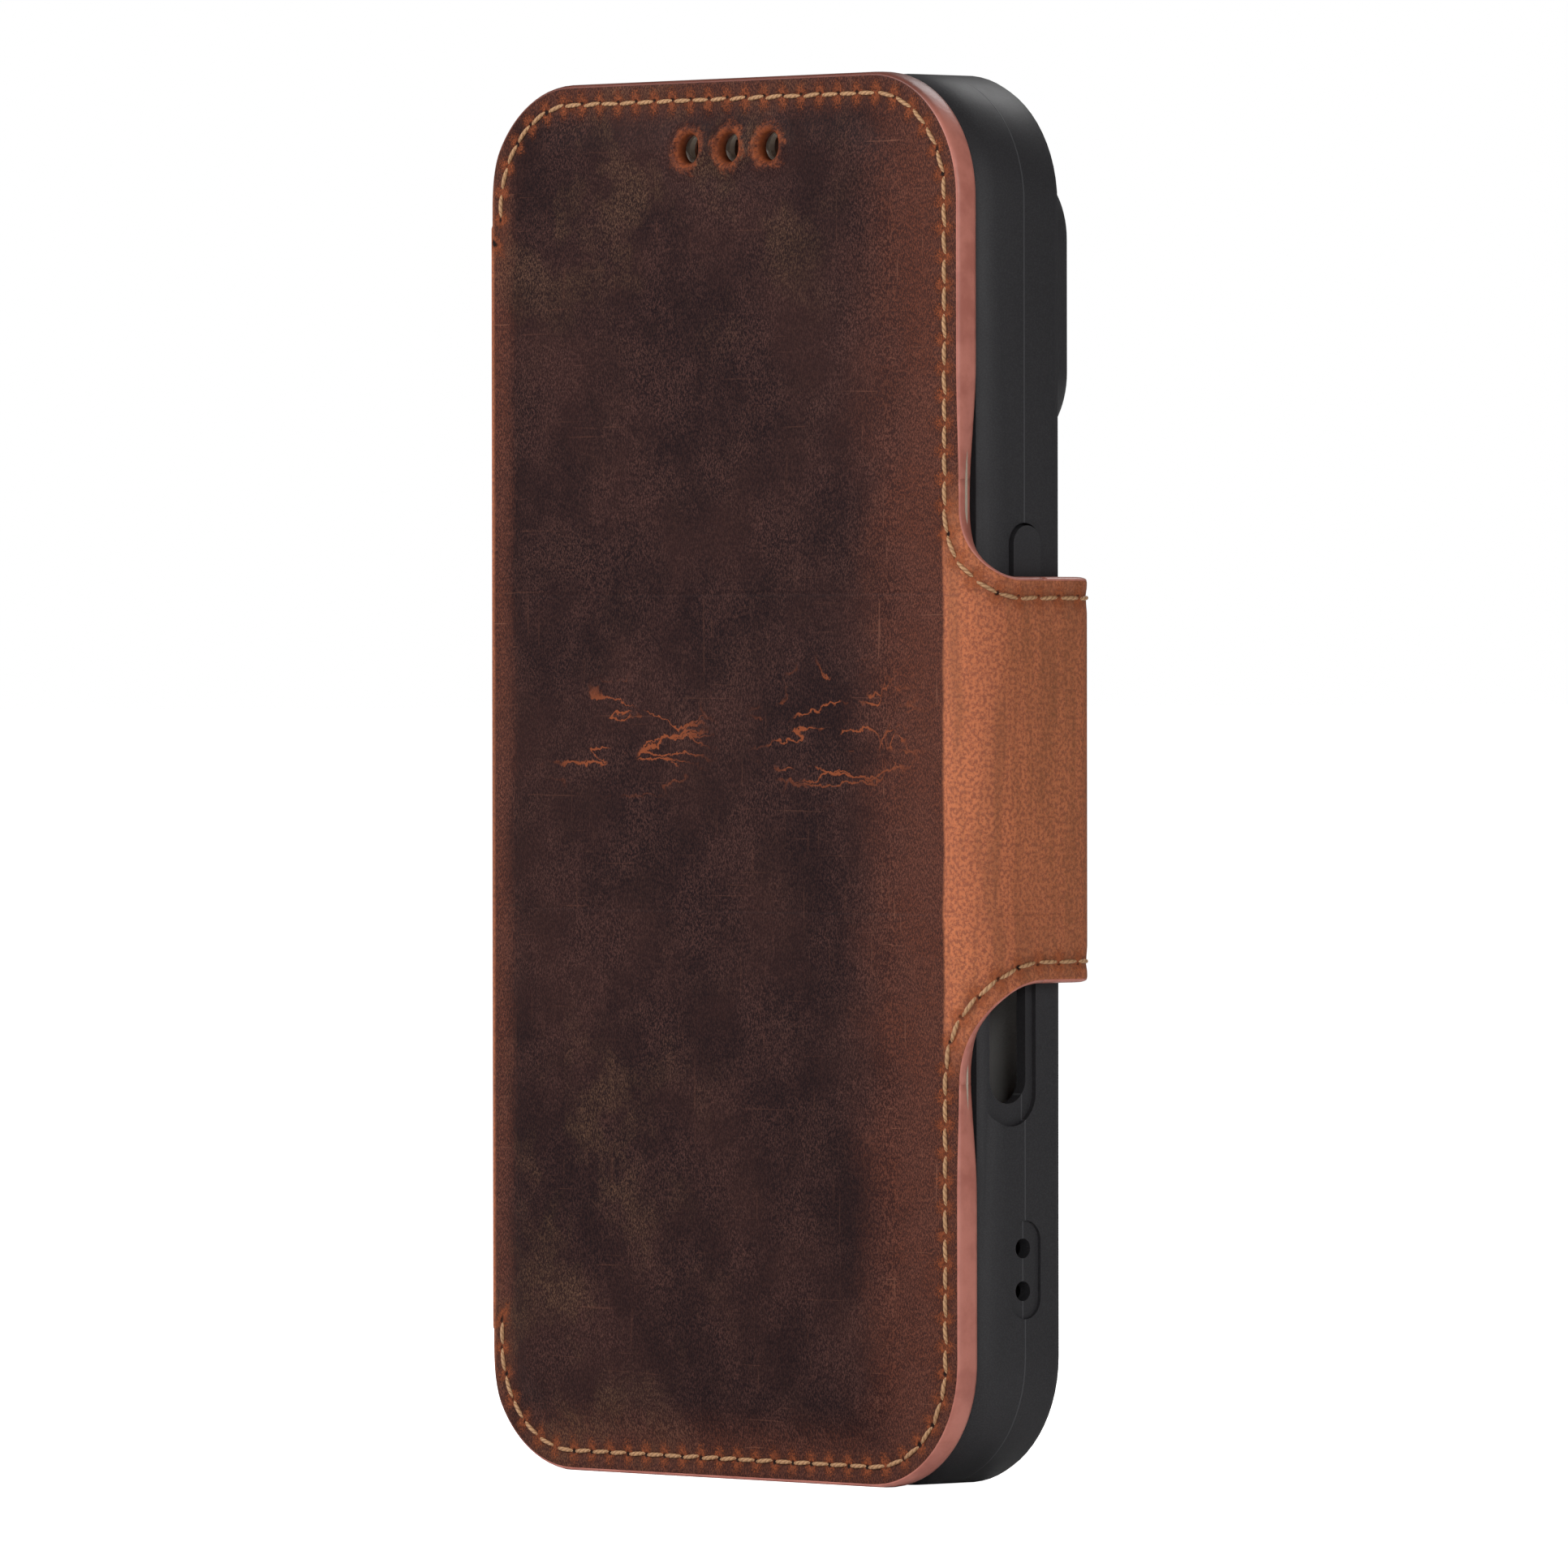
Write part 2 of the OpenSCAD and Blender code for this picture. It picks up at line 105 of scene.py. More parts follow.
@dataclass(frozen=True)
class EarHoles:
    """The row of three holes near the cover's top, in the pattern's millimetres."""

    s: float = 1.2
    z: float = 148.3
    pitch: float = 6.6
    radius: float = 1.6

    def outside(self, s: Array, z: Array) -> list[Array]:
        """Give the distances outside each hole's edge."""
        return [np.hypot(s - self.s - index * self.pitch, z - self.z) - self.radius for index in (-1, 0, 1)]


EARS = EarHoles()


# ---------------------------------------------------------------- shader helpers


class Tree:
    """A small writer of shader nodes for one material or node group."""

    def __init__(self, tree: NodeTree) -> None:
        """Start writing into a node tree.

        Args:
            tree: the node tree to fill.
        """
        self.tree = tree

    def add(self, kind: str, **inputs: object) -> Node:
        """Add a node and set or link its inputs.

        Args:
            kind: the node's type name.
            inputs: input names, with spaces as underscores, and a value or a socket for each.

        Returns:
            The new node.
        """
        node = self.tree.nodes.new(kind)
        for name, value in inputs.items():
            self.put(node.inputs[name.replace("_", " ")], value)
        return node

    def put(self, socket: NodeSocket, value: object) -> None:
        """Link a socket to an input, or set the input's value.

        Args:
            socket: the input.
            value: a value or a socket.
        """
        if isinstance(value, NodeSocket):
            self.tree.links.new(value, socket)
        elif socket.type == "RGBA" and len(value) == 3:
            socket.default_value = (*value, 1.0)
        else:
            socket.default_value = value

    def math(self, operation: str, a: object, b: object = 0.0, clamp: bool = False) -> NodeSocket:
        """Add a math node.

        Args:
            operation: the node's operation.
            a: first value or socket.
            b: second value or socket.
            clamp: keep the result between 0 and 1.

        Returns:
            The result's socket.
        """
        node = self.tree.nodes.new("ShaderNodeMath")
        node.operation = operation
        node.use_clamp = clamp
        self.put(node.inputs[0], a)
        self.put(node.inputs[1], b)
        return node.outputs[0]

    def times(self, a: object, b: object) -> NodeSocket:
        """Multiply two values."""
        return self.math("MULTIPLY", a, b)

    def plus(self, a: object, b: object) -> NodeSocket:
        """Add two values."""
        return self.math("ADD", a, b)

    def minus(self, a: object, b: object) -> NodeSocket:
        """Take the second value from the first."""
        return self.math("SUBTRACT", a, b)

    def most(self, a: object, b: object) -> NodeSocket:
        """Give the larger of two values."""
        return self.math("MAXIMUM", a, b)

    def root_of_squares(self, a: object, b: object) -> NodeSocket:
        """Give the distance that two sides make."""
        return self.math("SQRT", self.plus(self.times(a, a), self.times(b, b)))

    def ramp(
        self, value: object, low: object, high: object, to_low: float = 0.0, to_high: float = 1.0
    ) -> NodeSocket:
        """Map a value smoothly from one range to another.

        Args:
            value: the value's socket.
            low: the start of the range.
            high: the end of the range.
            to_low: the result at the start.
            to_high: the result at the end.

        Returns:
            The mapped value's socket.
        """
        node = self.tree.nodes.new("ShaderNodeMapRange")
        node.interpolation_type = "SMOOTHSTEP"
        for index, item in enumerate((value, low, high, to_low, to_high)):
            self.put(node.inputs[index], item)
        return node.outputs[0]

    def noise(self, vector: object, scale: float, detail: float = 3.0, rough: float = 0.55) -> NodeSocket:
        """Add a noise texture and give its value's socket."""
        node = self.add("ShaderNodeTexNoise", Vector=vector, Scale=scale, Detail=detail, Roughness=rough)
        return node.outputs[0]

    def mix(self, factor: object, a: object, b: object) -> NodeSocket:
        """Mix two colours.

        Args:
            factor: the share of the second colour.
            a: the first colour.
            b: the second colour.

        Returns:
            The mixed colour's socket.
        """
        node = self.tree.nodes.new("ShaderNodeMix")
        node.data_type = "RGBA"
        self.put(node.inputs[0], factor)
        self.put(node.inputs[6], a)
        self.put(node.inputs[7], b)
        return node.outputs[2]

    def stretch(self, vector: object, scale: tuple[float, float, float], turn: float = 0.0) -> NodeSocket:
        """Scale and turn a pattern's coordinates.

        Args:
            vector: the coordinates.
            scale: the scale each way.
            turn: the turn about Z, in radians.

        Returns:
            The new coordinates' socket.
        """
        node = self.add("ShaderNodeMapping", Vector=vector, Scale=scale)
        node.inputs["Rotation"].default_value = (0.0, 0.0, turn)
        return node.outputs[0]

    def attribute(self, name: str) -> NodeSocket:
        """Read a vector attribute of the piece.

        Args:
            name: the name.

        Returns:
            The attribute's socket.
        """
        node = self.tree.nodes.new("ShaderNodeAttribute")
        node.attribute_name = name
        return node.outputs["Vector"]

    def split(self, vector: object) -> list[NodeSocket]:
        """Give a vector's three parts."""
        return list(self.add("ShaderNodeSeparateXYZ", Vector=vector).outputs)


def new_group(name: str, ins: dict[str, tuple[str, object]], outs: dict[str, str]) -> tuple[NodeTree, Tree]:
    """Make an empty shader group with named sockets.

    Args:
        name: the group's name.
        ins: input names, each with its socket kind and default.
        outs: output names, each with its socket kind.

    Returns:
        The group's tree and its writer.
    """
    tree = bpy.data.node_groups.new(name, "ShaderNodeTree")
    for label, (kind, default) in ins.items():
        socket = tree.interface.new_socket(label, in_out="INPUT", socket_type=f"NodeSocket{kind}")
        if default is not None:
            socket.default_value = default
    for label, kind in outs.items():
        tree.interface.new_socket(label, in_out="OUTPUT", socket_type=f"NodeSocket{kind}")
    return tree, Tree(tree)


def hide_grain() -> NodeTree:
    """Build the group for fine leather: pores, short fibres and mottling, in the pattern's millimetres.

    Returns:
        The node group.
    """
    tree, t = new_group(
        "hide_grain",
        {"Vector": ("Vector", None), "Pore Scale": ("Float", 1.0)},
        dict.fromkeys(("Height", "Fibre", "Mottle", "Speckle", "Spots", "Streaks"), "Float"),
    )
    source = t.add("NodeGroupInput")
    place = t.add("ShaderNodeVectorMath")
    place.operation = "SCALE"
    t.put(place.inputs[0], source.outputs["Vector"])
    t.put(place.inputs["Scale"], source.outputs["Pore Scale"])
    vector = place.outputs[0]
    pores = t.add("ShaderNodeTexVoronoi", Vector=vector, Scale=1.9, Randomness=1.0).outputs[0]
    creases = t.noise(t.stretch(vector, (1.0, 0.55, 1.0)), 1.4, 5.0, 0.6)
    fibre = t.noise(t.stretch(vector, (4.4, 1.9, 1.0), 0.45), 1.5, 2.0, 0.6)
    fibre_b = t.noise(t.stretch(vector, (4.0, 1.7, 1.0), -0.3), 1.7, 2.0, 0.6)
    spots = t.noise(t.stretch(vector, (2.0, 1.6, 1.0)), 1.3, 3.0, 0.65)
    streak = t.noise(t.stretch(vector, (2.2, 0.09, 1.0), 0.06), 1.0, 3.0, 0.55)
    streak_b = t.noise(t.stretch(vector, (0.07, 2.6, 1.0), 0.5), 1.0, 3.0, 0.55)
    height = t.plus(t.times(pores, 0.45), t.times(creases, 0.8))
    target = t.add("NodeGroupOutput")
    t.put(target.inputs["Height"], t.plus(height, t.times(fibre, 0.4)))
    t.put(target.inputs["Fibre"], t.ramp(t.most(fibre, fibre_b), 0.5, 0.66))
    t.put(target.inputs["Spots"], t.ramp(spots, 0.41, 0.6))
    t.put(target.inputs["Streaks"], t.ramp(t.most(streak, streak_b), 0.66, 0.74))
    t.put(target.inputs["Mottle"], t.ramp(t.noise(vector, 0.045, 4.0, 0.6), 0.38, 0.66))
    t.put(target.inputs["Speckle"], t.ramp(t.noise(vector, 0.9, 4.0, 0.75), 0.46, 0.66))
    return tree


def stitch_wear_and_shade(pitch: float) -> NodeTree:
    """Build the group for the awl holes along a seam: a dark pit of painted shade in each hole, pale torn
    fibres round it, and painted shade along the seam.

    Args:
        pitch: distance between holes in millimetres.

    Returns:
        The node group.
    """
    tree, t = new_group(
        "stitch_wear_and_shade",
        {"Seam": ("Vector", None), "Vector": ("Vector", None)},
        dict.fromkeys(("Pit", "Tuft", "Seam Shade"), "Float"),
    )
    source = t.add("NodeGroupInput")
    along, across, _ = t.split(source.outputs["Seam"])
    ragged = t.minus(t.noise(source.outputs["Vector"], 4.6, 3.0, 0.8), 0.5)
    cycle = t.minus(t.math("FRACT", t.math("DIVIDE", along, pitch)), 0.5)
    run = t.times(cycle, pitch)
    reach = t.root_of_squares(run, across)
    long_way = t.times(across, 0.62)
    spread = t.plus(t.times(run, run), t.times(long_way, long_way))
    torn = t.plus(t.math("SQRT", spread), t.times(ragged, 3.2))
    target = t.add("NodeGroupOutput")
    # Painted shade: a dark dot in each awl hole; the same mask also sinks the bump.
    t.put(target.inputs["Pit"], t.ramp(reach, 0.5, 0.22))
    t.put(target.inputs["Tuft"], t.ramp(torn, 1.05, 0.5))
    # Painted shade along the seam's groove.
    t.put(target.inputs["Seam Shade"], t.ramp(t.math("ABSOLUTE", across), 1.3, 0.2))
    return tree


def crack_lines() -> NodeTree:
    """Build the group for the pull-up cracks: thin branching veins inside two soft patches of the panel.

    Returns:
        The node group.
    """
    tree, t = new_group("crack_lines", {"Vector": ("Vector", None)}, {"Crack": "Float"})
    source = t.add("NodeGroupInput")
    place = source.outputs["Vector"]
    jag = t.add("ShaderNodeTexNoise", Vector=place, Scale=0.55, Detail=3.0, Roughness=0.65)
    shift = t.add("ShaderNodeVectorMath")
    shift.operation = "MULTIPLY_ADD"
    t.put(shift.inputs[0], jag.outputs["Color"])
    shift.inputs[1].default_value = (2.2, 2.2, 0.0)
    t.put(shift.inputs[2], source.outputs["Vector"])
    line = None
    step = 0.03
    for across, up, turn in ((0.034, 0.115, 0.36), (0.038, 0.13, -0.44), (0.026, 0.15, 0.05)):
        place = t.stretch(shift.outputs[0], (across, up, 1.0), turn)
        beside = t.add("ShaderNodeVectorMath")
        t.put(beside.inputs[0], place)
        beside.inputs[1].default_value = (0.0, step, 0.0)
        field = t.noise(place, 1.0, 2.0, 0.4)
        climb = t.math("ABSOLUTE", t.minus(t.noise(beside.outputs[0], 1.0, 2.0, 0.4), field))
        slope = t.most(t.times(climb, up / step), 0.02)
        far = t.math("DIVIDE", t.math("ABSOLUTE", t.minus(field, 0.5)), slope)
        ridge = t.ramp(far, 0.17, 0.05)
        line = ridge if line is None else t.most(line, ridge)
    s, z, _ = t.split(source.outputs["Vector"])
    patches = None
    for middle_s, middle_z, wide, high in ((-16.0, 82.5, 17.0, 7.5), (19.0, 83.5, 15.5, 9.0)):
        across = t.math("DIVIDE", t.minus(s, middle_s), wide)
        up = t.math("DIVIDE", t.minus(z, middle_z), high)
        far = t.root_of_squares(across, up)
        patch = t.ramp(far, 1.0, 0.5)
        patches = patch if patches is None else t.most(patches, patch)
    broken = t.ramp(t.noise(source.outputs["Vector"], 0.16, 3.0), 0.4, 0.5)
    target = t.add("NodeGroupOutput")
    t.put(target.inputs["Crack"], t.times(t.times(line, patches), broken))
    return tree


# ---------------------------------------------------------------- finishes


@dataclass(frozen=True)
class Finish:
    """A material with its own name, roughness and gloss; each kind writes its own colour nodes."""

    name: str
    rough: float = 0.5
    specular: float = 0.5

    def build(self) -> Material:
        """Make the material.

        Returns:
            The finished material.
        """
        material = bpy.data.materials.new(self.name)
        material.use_nodes = True
        t = Tree(material.node_tree)
        shader = material.node_tree.nodes["Principled BSDF"]
        shader.inputs["Roughness"].default_value = self.rough
        shader.inputs["Specular IOR Level"].default_value = self.specular
        self.dress(t, shader)
        return material

    def dress(self, t: Tree, shader: Node) -> None:
        """Write the finish's own nodes."""
        raise NotImplementedError

    def bump(self, t: Tree, shader: Node, height: object, strength: float, distance: float) -> None:
        """Give the shader a bump from a height.

        Args:
            t: the writer.
            shader: the material's shader.
            height: the height's socket.
            strength: how strong the bump is.
            distance: how high the height's 1 is, in metres.
        """
        node = t.add("ShaderNodeBump", Height=height, Strength=strength, Distance=distance)
        t.put(shader.inputs["Normal"], node.outputs[0])


@dataclass(frozen=True)
class Hide(Finish):
    """Oiled pull-up leather: dark where the oil lies, tan where it has been bent or rubbed."""

    groups: dict = field(default_factory=dict)
    worn: bool = True
    all_tan: float = 0.0
    oil: tuple = (0.0082, 0.0022, 0.0032)
    brown: tuple = (0.066, 0.0225, 0.0165)
    fibre: tuple = (0.15, 0.066, 0.052)
    rub: tuple = (0.2, 0.08, 0.05)
    tan: tuple = (0.53, 0.165, 0.072)
    tan_deep: tuple = (0.26, 0.078, 0.044)
    tan_shade: tuple = (0.16, 0.06, 0.028)
    torn: tuple = (0.3, 0.075, 0.026)
    wall_dark: tuple = (0.11, 0.026, 0.008)
    dust: tuple = (0.16, 0.088, 0.046)

    def group(self, t: Tree, name: str, **inputs: object) -> Node:
        """Place one of the shared groups and link its inputs.

        Args:
            t: the writer.
            name: the name.
            inputs: input names and their values or sockets.

        Returns:
            The group's node.
        """
        node = t.tree.nodes.new("ShaderNodeGroup")
        node.node_tree = self.groups[name]
        for key, value in inputs.items():
            t.put(node.inputs[key.replace("_", " ")], value)
        return node

    def dress(self, t: Tree, shader: Node) -> None:
        """Lay the colours in order: oil, mottling, rubbed bands, dust, cracks, painted shade on the strap's
        side and along the seam, stitch holes with painted shade in them, and fibres.

        Args:
            t: the writer.
            shader: the material's shader.
        """
        flat = t.attribute("flat")
        s, z, _ = t.split(flat)
        grain = self.group(t, "hide_grain", Vector=flat)
        wear_and_shade = self.group(t, "stitch_wear_and_shade", Seam=t.attribute("seam"), Vector=flat)
        names = ("Mottle", "Speckle", "Fibre", "Spots", "Streaks")
        mottle, speckle, fibre, spots, streaks = (grain.outputs[name] for name in names)
        drift = t.times(t.minus(t.noise(flat, 0.12, 3.0), 0.5), 9.0)
        bands = self.rubbed_bands(t, s, z, drift) if self.worn else t.times(mottle, 0.3)
        tan_share = self.tan_places(t, s, z, drift) if self.worn else self.all_tan
        dark = self.oiled(t, flat, s, z, grain, bands)
        light = t.mix(t.times(spots, 0.95), self.tan, self.tan_deep)
        rubbed = t.noise(t.stretch(flat, (0.42, 0.04, 1.0)), 1.0, 3.0, 0.6)
        light = t.mix(t.ramp(rubbed, 0.42, 0.66, 0.0, 0.45), light, self.tan_shade)
        # Painted shade: the strap's tan darkens towards its side face, from 41 to 50 mm across, broken by
        # speckle.
        edge = t.times(t.ramp(s, 41.0, 50.0), 0.55)
        light = t.mix(t.times(edge, t.ramp(speckle, 0.0, 1.0, 0.5, 1.0)), light, self.tan_shade)
        light = t.mix(t.times(mottle, 0.22), light, self.tan_deep)
        light = t.mix(t.times(fibre, 0.16), light, (0.5, 0.24, 0.13))
        colour = t.mix(tan_share, dark, light)
        # Painted shade along the seam's groove.
        colour = t.mix(t.times(wear_and_shade.outputs["Seam Shade"], 0.3), colour, (0.05, 0.018, 0.011))
        tuft = t.times(wear_and_shade.outputs["Tuft"], t.ramp(fibre, 0.0, 1.0, 0.4, 1.0))
        colour = t.mix(t.times(tuft, 0.85), colour, self.torn)
        if self.worn:
            torn, wall = self.hole_scuffs_and_rims(t, flat, s, z)
            colour = t.mix(torn, colour, t.mix(t.times(spots, 0.6), self.torn, self.brown))
            # Darker on each ear hole's wall and rim.
            colour = t.mix(t.times(wall, 0.75), colour, self.wall_dark)
        # Painted shade: near black in each awl hole.
        colour = t.mix(wear_and_shade.outputs["Pit"], colour, (0.012, 0.006, 0.005))
        t.put(shader.inputs["Base Color"], colour)
        rough = t.plus(t.times(fibre, 0.14), self.rough)
        rough = t.plus(rough, t.times(tan_share, 0.05))
        t.put(shader.inputs["Roughness"], t.minus(rough, t.times(mottle, 0.05)))
        height = t.minus(grain.outputs["Height"], t.times(wear_and_shade.outputs["Pit"], 2.2))
        height = t.plus(height, t.times(wear_and_shade.outputs["Tuft"], 0.7))
        if self.worn:
            height = t.minus(height, t.times(self.pressed_lines(t, z), 0.8))
        self.bump(t, shader, height, 0.6, 0.00012)

    def oiled(self, t: Tree, flat: object, s: object, z: object, grain: Node, bands: object) -> NodeSocket:
        """Colour the oiled leather: dark ground, rubbed brown bands, pale fibres, dust, streaks and cracks.

        Args:
            t: the writer.
            flat: the pattern's coordinates.
            s: distance across the pattern.
            z: height.
            grain: the grain group's node.
            bands: where the leather is rubbed brown.

        Returns:
            The colour's socket.
        """
        names = ("Mottle", "Speckle", "Fibre", "Streaks")
        mottle, speckle, fibre, streaks = (grain.outputs[name] for name in names)
        dark = t.mix(t.times(mottle, 0.22), self.oil, self.brown)
        dark = t.mix(t.times(bands, t.ramp(speckle, 0.0, 1.0, 0.55, 1.0)), dark, self.brown)
        dark = t.mix(t.times(t.times(fibre, bands), 0.4), dark, self.torn)
        cloud = t.ramp(t.noise(flat, 0.11, 4.0, 0.65), 0.36, 0.64, 0.18, 0.46)
        dark = t.mix(t.times(fibre, cloud), dark, self.fibre)
        dusty = self.dust_patches(t, flat, s, z) if self.worn else t.times(mottle, 0.2)
        dark = t.mix(t.times(dusty, t.ramp(fibre, 0.0, 1.0, 0.04, 0.62)), dark, self.dust)
        rub = t.ramp(bands, 0.0, 0.9, 0.16, 0.6)
        dark = t.mix(t.times(streaks, rub), dark, self.rub)
        if not self.worn:
            return dark
        cracks = self.group(t, "crack_lines", Vector=flat)
        return t.mix(t.times(cracks.outputs[0], 0.72), dark, self.torn)

    def tan_places(self, t: Tree, s: object, z: object, drift: object) -> NodeSocket:
        """Say where bending has turned the leather tan: the strap from its crease on, and the spine.

        Args:
            t: the writer.
            s: distance across the pattern.
            z: height.
            drift: slow noise that makes the borders uneven.

        Returns:
            The mask's socket.
        """
        away = t.math("ABSOLUTE", t.minus(z, 78.0))
        crease = t.plus(s, t.times(drift, 0.1))
        reach = t.ramp(t.plus(away, t.times(drift, 0.35)), 35.0, 26.0)
        strap = t.times(t.ramp(crease, 35.3, 35.9), reach)
        tab = t.ramp(t.plus(s, drift), 60.0, 70.0, 1.0, 0.5)
        spine = t.ramp(t.plus(s, t.times(drift, 0.06)), -38.6, -39.8)
        flat_spine = t.times(t.ramp(s, -42.5, -45.5), t.ramp(s, -53.5, -50.5))
        spine = t.times(spine, t.minus(1.0, t.times(flat_spine, 0.62)))
        return t.most(t.times(strap, tab), spine)

    def rubbed_bands(self, t: Tree, s: object, z: object, drift: object) -> NodeSocket:
        """Say where the panel's edges are rubbed brown.

        Args:
            t: the writer.
            s: distance across the pattern.
            z: height.
            drift: slow noise that makes the bands uneven.

        Returns:
            The mask's socket.
        """
        right = t.ramp(t.plus(s, drift), 19.0, 33.0, 0.0, 1.0)
        left = t.ramp(t.plus(s, t.times(drift, 0.35)), -34.0, -38.0, 0.0, 0.9)
        top = t.ramp(z, 150.5, 154.5, 0.0, 0.75)
        bottom = t.ramp(z, 9.0, 1.5, 0.0, 0.8)
        return t.most(t.most(right, left), t.most(top, bottom))

    def dust_patches(self, t: Tree, flat: object, s: object, z: object) -> NodeSocket:
        """Say where the panel is scuffed pale and olive.

        Args:
            t: the writer.
            flat: the pattern's coordinates.
            s: distance across the pattern.
            z: height.

        Returns:
            The mask's socket.
        """
        cloud = t.ramp(t.noise(flat, 0.085, 4.0, 0.65), 0.47, 0.64)
        high = t.times(t.ramp(z, 122.0, 140.0), t.ramp(s, 28.0, 4.0))
        low = t.times(t.ramp(z, 58.0, 38.0), t.ramp(s, 6.0, -22.0))
        share = t.plus(0.05, t.times(t.most(high, low), 0.62))
        return t.times(cloud, share)

    def hole_scuffs_and_rims(self, t: Tree, flat: object, s: object, z: object) -> tuple:
        """Say where the leather is torn pale round the ear holes, and where it is darker on their walls and
        rims.

        Args:
            t: the writer.
            flat: the pattern's coordinates.
            s: distance across the pattern.
            z: height.

        Returns:
            The torn mask's socket and the wall mask's socket.
        """
        fine = t.times(t.minus(t.noise(flat, 3.6, 3.0, 0.75), 0.5), 3.0)
        wide = t.times(t.minus(t.noise(flat, 0.5, 3.0, 0.7), 0.5), 3.4)
        near = None
        for index in (-1, 0, 1):
            a = t.minus(s, EARS.s + EARS.pitch * index)
            b = t.minus(z, EARS.z)
            far = t.root_of_squares(a, b)
            near = far if near is None else t.math("MINIMUM", near, far)
        torn = t.ramp(t.plus(t.plus(near, fine), wide), 3.1, 1.8, 0.0, 0.75)
        wall = t.ramp(near, EARS.radius + 0.25, EARS.radius - 0.02)
        return torn, wall

    def pressed_lines(self, t: Tree, z: object) -> NodeSocket:
        """Say where the inner pocket's edges have pressed two faint lines across the panel.

        Args:
            t: the writer.
            z: heights.

        Returns:
            The mask's socket.
        """
        upper = t.ramp(t.math("ABSOLUTE", t.minus(z, 98.6)), 0.35, 0.05)
        lower = t.ramp(t.math("ABSOLUTE", t.minus(z, 63.4)), 0.35, 0.05)
        return t.most(upper, lower)


@dataclass(frozen=True)
class Paint(Finish):
    """Edge paint: an even satin coat with slight waves."""

    colour: tuple = (0.48, 0.175, 0.132)
    deep: tuple = (0.36, 0.118, 0.087)
    oiled: tuple = (0.13, 0.038, 0.026)

    def dress(self, t: Tree, shader: Node) -> None:
        """Vary the coat a little and make it slightly uneven.

        Args:
            t: the writer.
            shader: the material's shader.
        """
        place = t.stretch(t.add("ShaderNodeTexCoord").outputs["Object"], (1000.0, 1000.0, 1000.0))
        cloud = t.ramp(t.noise(place, 0.25, 4.0, 0.6), 0.35, 0.7)
        s, z, _ = t.split(t.attribute("flat"))
        top = t.ramp(t.plus(z, t.times(cloud, 2.0)), 148.0, 154.0)
        left = t.ramp(s, -30.0, -37.0)
        worn = t.times(t.most(top, left), t.ramp(s, 37.0, 30.0, 0.25, 0.9))
        coat = t.mix(cloud, self.colour, self.deep)
        t.put(shader.inputs["Base Color"], t.mix(worn, coat, self.oiled))
        self.bump(t, shader, t.noise(place, 0.9, 3.0), 0.35, 0.00012)


@dataclass(frozen=True)
class Moulding(Finish):
    """Soft matt black polymer with a fine moulded texture and a hairline parting line round its side."""

    colour: tuple = (0.0235, 0.0225, 0.0245)
    line_y: float | None = None

    def dress(self, t: Tree, shader: Node) -> None:
        """Add the fine texture, the slight sheen changes and the parting line.

        Args:
            t: the writer.
            shader: the material's shader.
        """
        place = t.add("ShaderNodeTexCoord").outputs["Object"]
        fine = t.noise(t.stretch(place, (1000.0, 1000.0, 1000.0)), 5.5, 2.0, 0.6)
        cloud = t.noise(t.stretch(place, (1000.0, 1000.0, 1000.0)), 0.06, 4.0, 0.6)
        t.put(shader.inputs["Roughness"], t.ramp(cloud, 0.3, 0.7, self.rough - 0.04, self.rough + 0.07))
        colour = t.mix(t.ramp(fine, 0.35, 0.75, 0.0, 0.35), self.colour, (0.05, 0.049, 0.052))
        height = t.times(fine, 0.5)
        if self.line_y is not None:
            y = t.split(place)[1]
            line = t.ramp(t.math("ABSOLUTE", t.minus(y, self.line_y)), 0.00012, 0.00003)
            colour = t.mix(t.times(line, 0.5), colour, (0.09, 0.09, 0.095))
            height = t.plus(height, t.times(line, 1.5))
        t.put(shader.inputs["Base Color"], colour)
        self.bump(t, shader, height, 0.35, 0.00005)


@dataclass(frozen=True)
class Nap(Finish):
    """Short-napped microfibre or foam: soft mottling and a fine nap."""

    colour: tuple = (0.4, 0.385, 0.37)
    shade: tuple = (0.27, 0.26, 0.25)

    def dress(self, t: Tree, shader: Node) -> None:
        """Write the nap's mottling and relief.

        Args:
            t: the writer.
            shader: the material's shader.
        """
        place = t.stretch(t.add("ShaderNodeTexCoord").outputs["Object"], (1000.0, 1000.0, 1000.0))
        fine = t.noise(place, 3.2, 4.0, 0.75)
        slow = t.noise(place, 0.14, 3.0)
        share = t.math("MULTIPLY", t.plus(fine, slow), 0.6, clamp=True)
        t.put(shader.inputs["Base Color"], t.mix(share, self.colour, self.shade))
        shader.inputs["Sheen Weight"].default_value = 0.3
        shader.inputs["Sheen Roughness"].default_value = 0.5
        self.bump(t, shader, fine, 0.5, 0.00012)


@dataclass(frozen=True)
class Metal(Finish):
    """Plated steel with fine brushed lines."""

    colour: tuple = (0.6, 0.6, 0.62)

    def dress(self, t: Tree, shader: Node) -> None:
        """Write the brushed lines.

        Args:
            t: the writer.
            shader: the material's shader.
        """
        place = t.stretch(t.add("ShaderNodeTexCoord").outputs["Object"], (300.0, 300.0, 6000.0))
        lines = t.noise(place, 1.0, 3.0)
        shader.inputs["Metallic"].default_value = 1.0
        t.put(shader.inputs["Base Color"], t.mix(lines, self.colour, (0.42, 0.42, 0.44)))
        t.put(shader.inputs["Roughness"], t.ramp(lines, 0.2, 0.8, self.rough - 0.08, self.rough + 0.1))


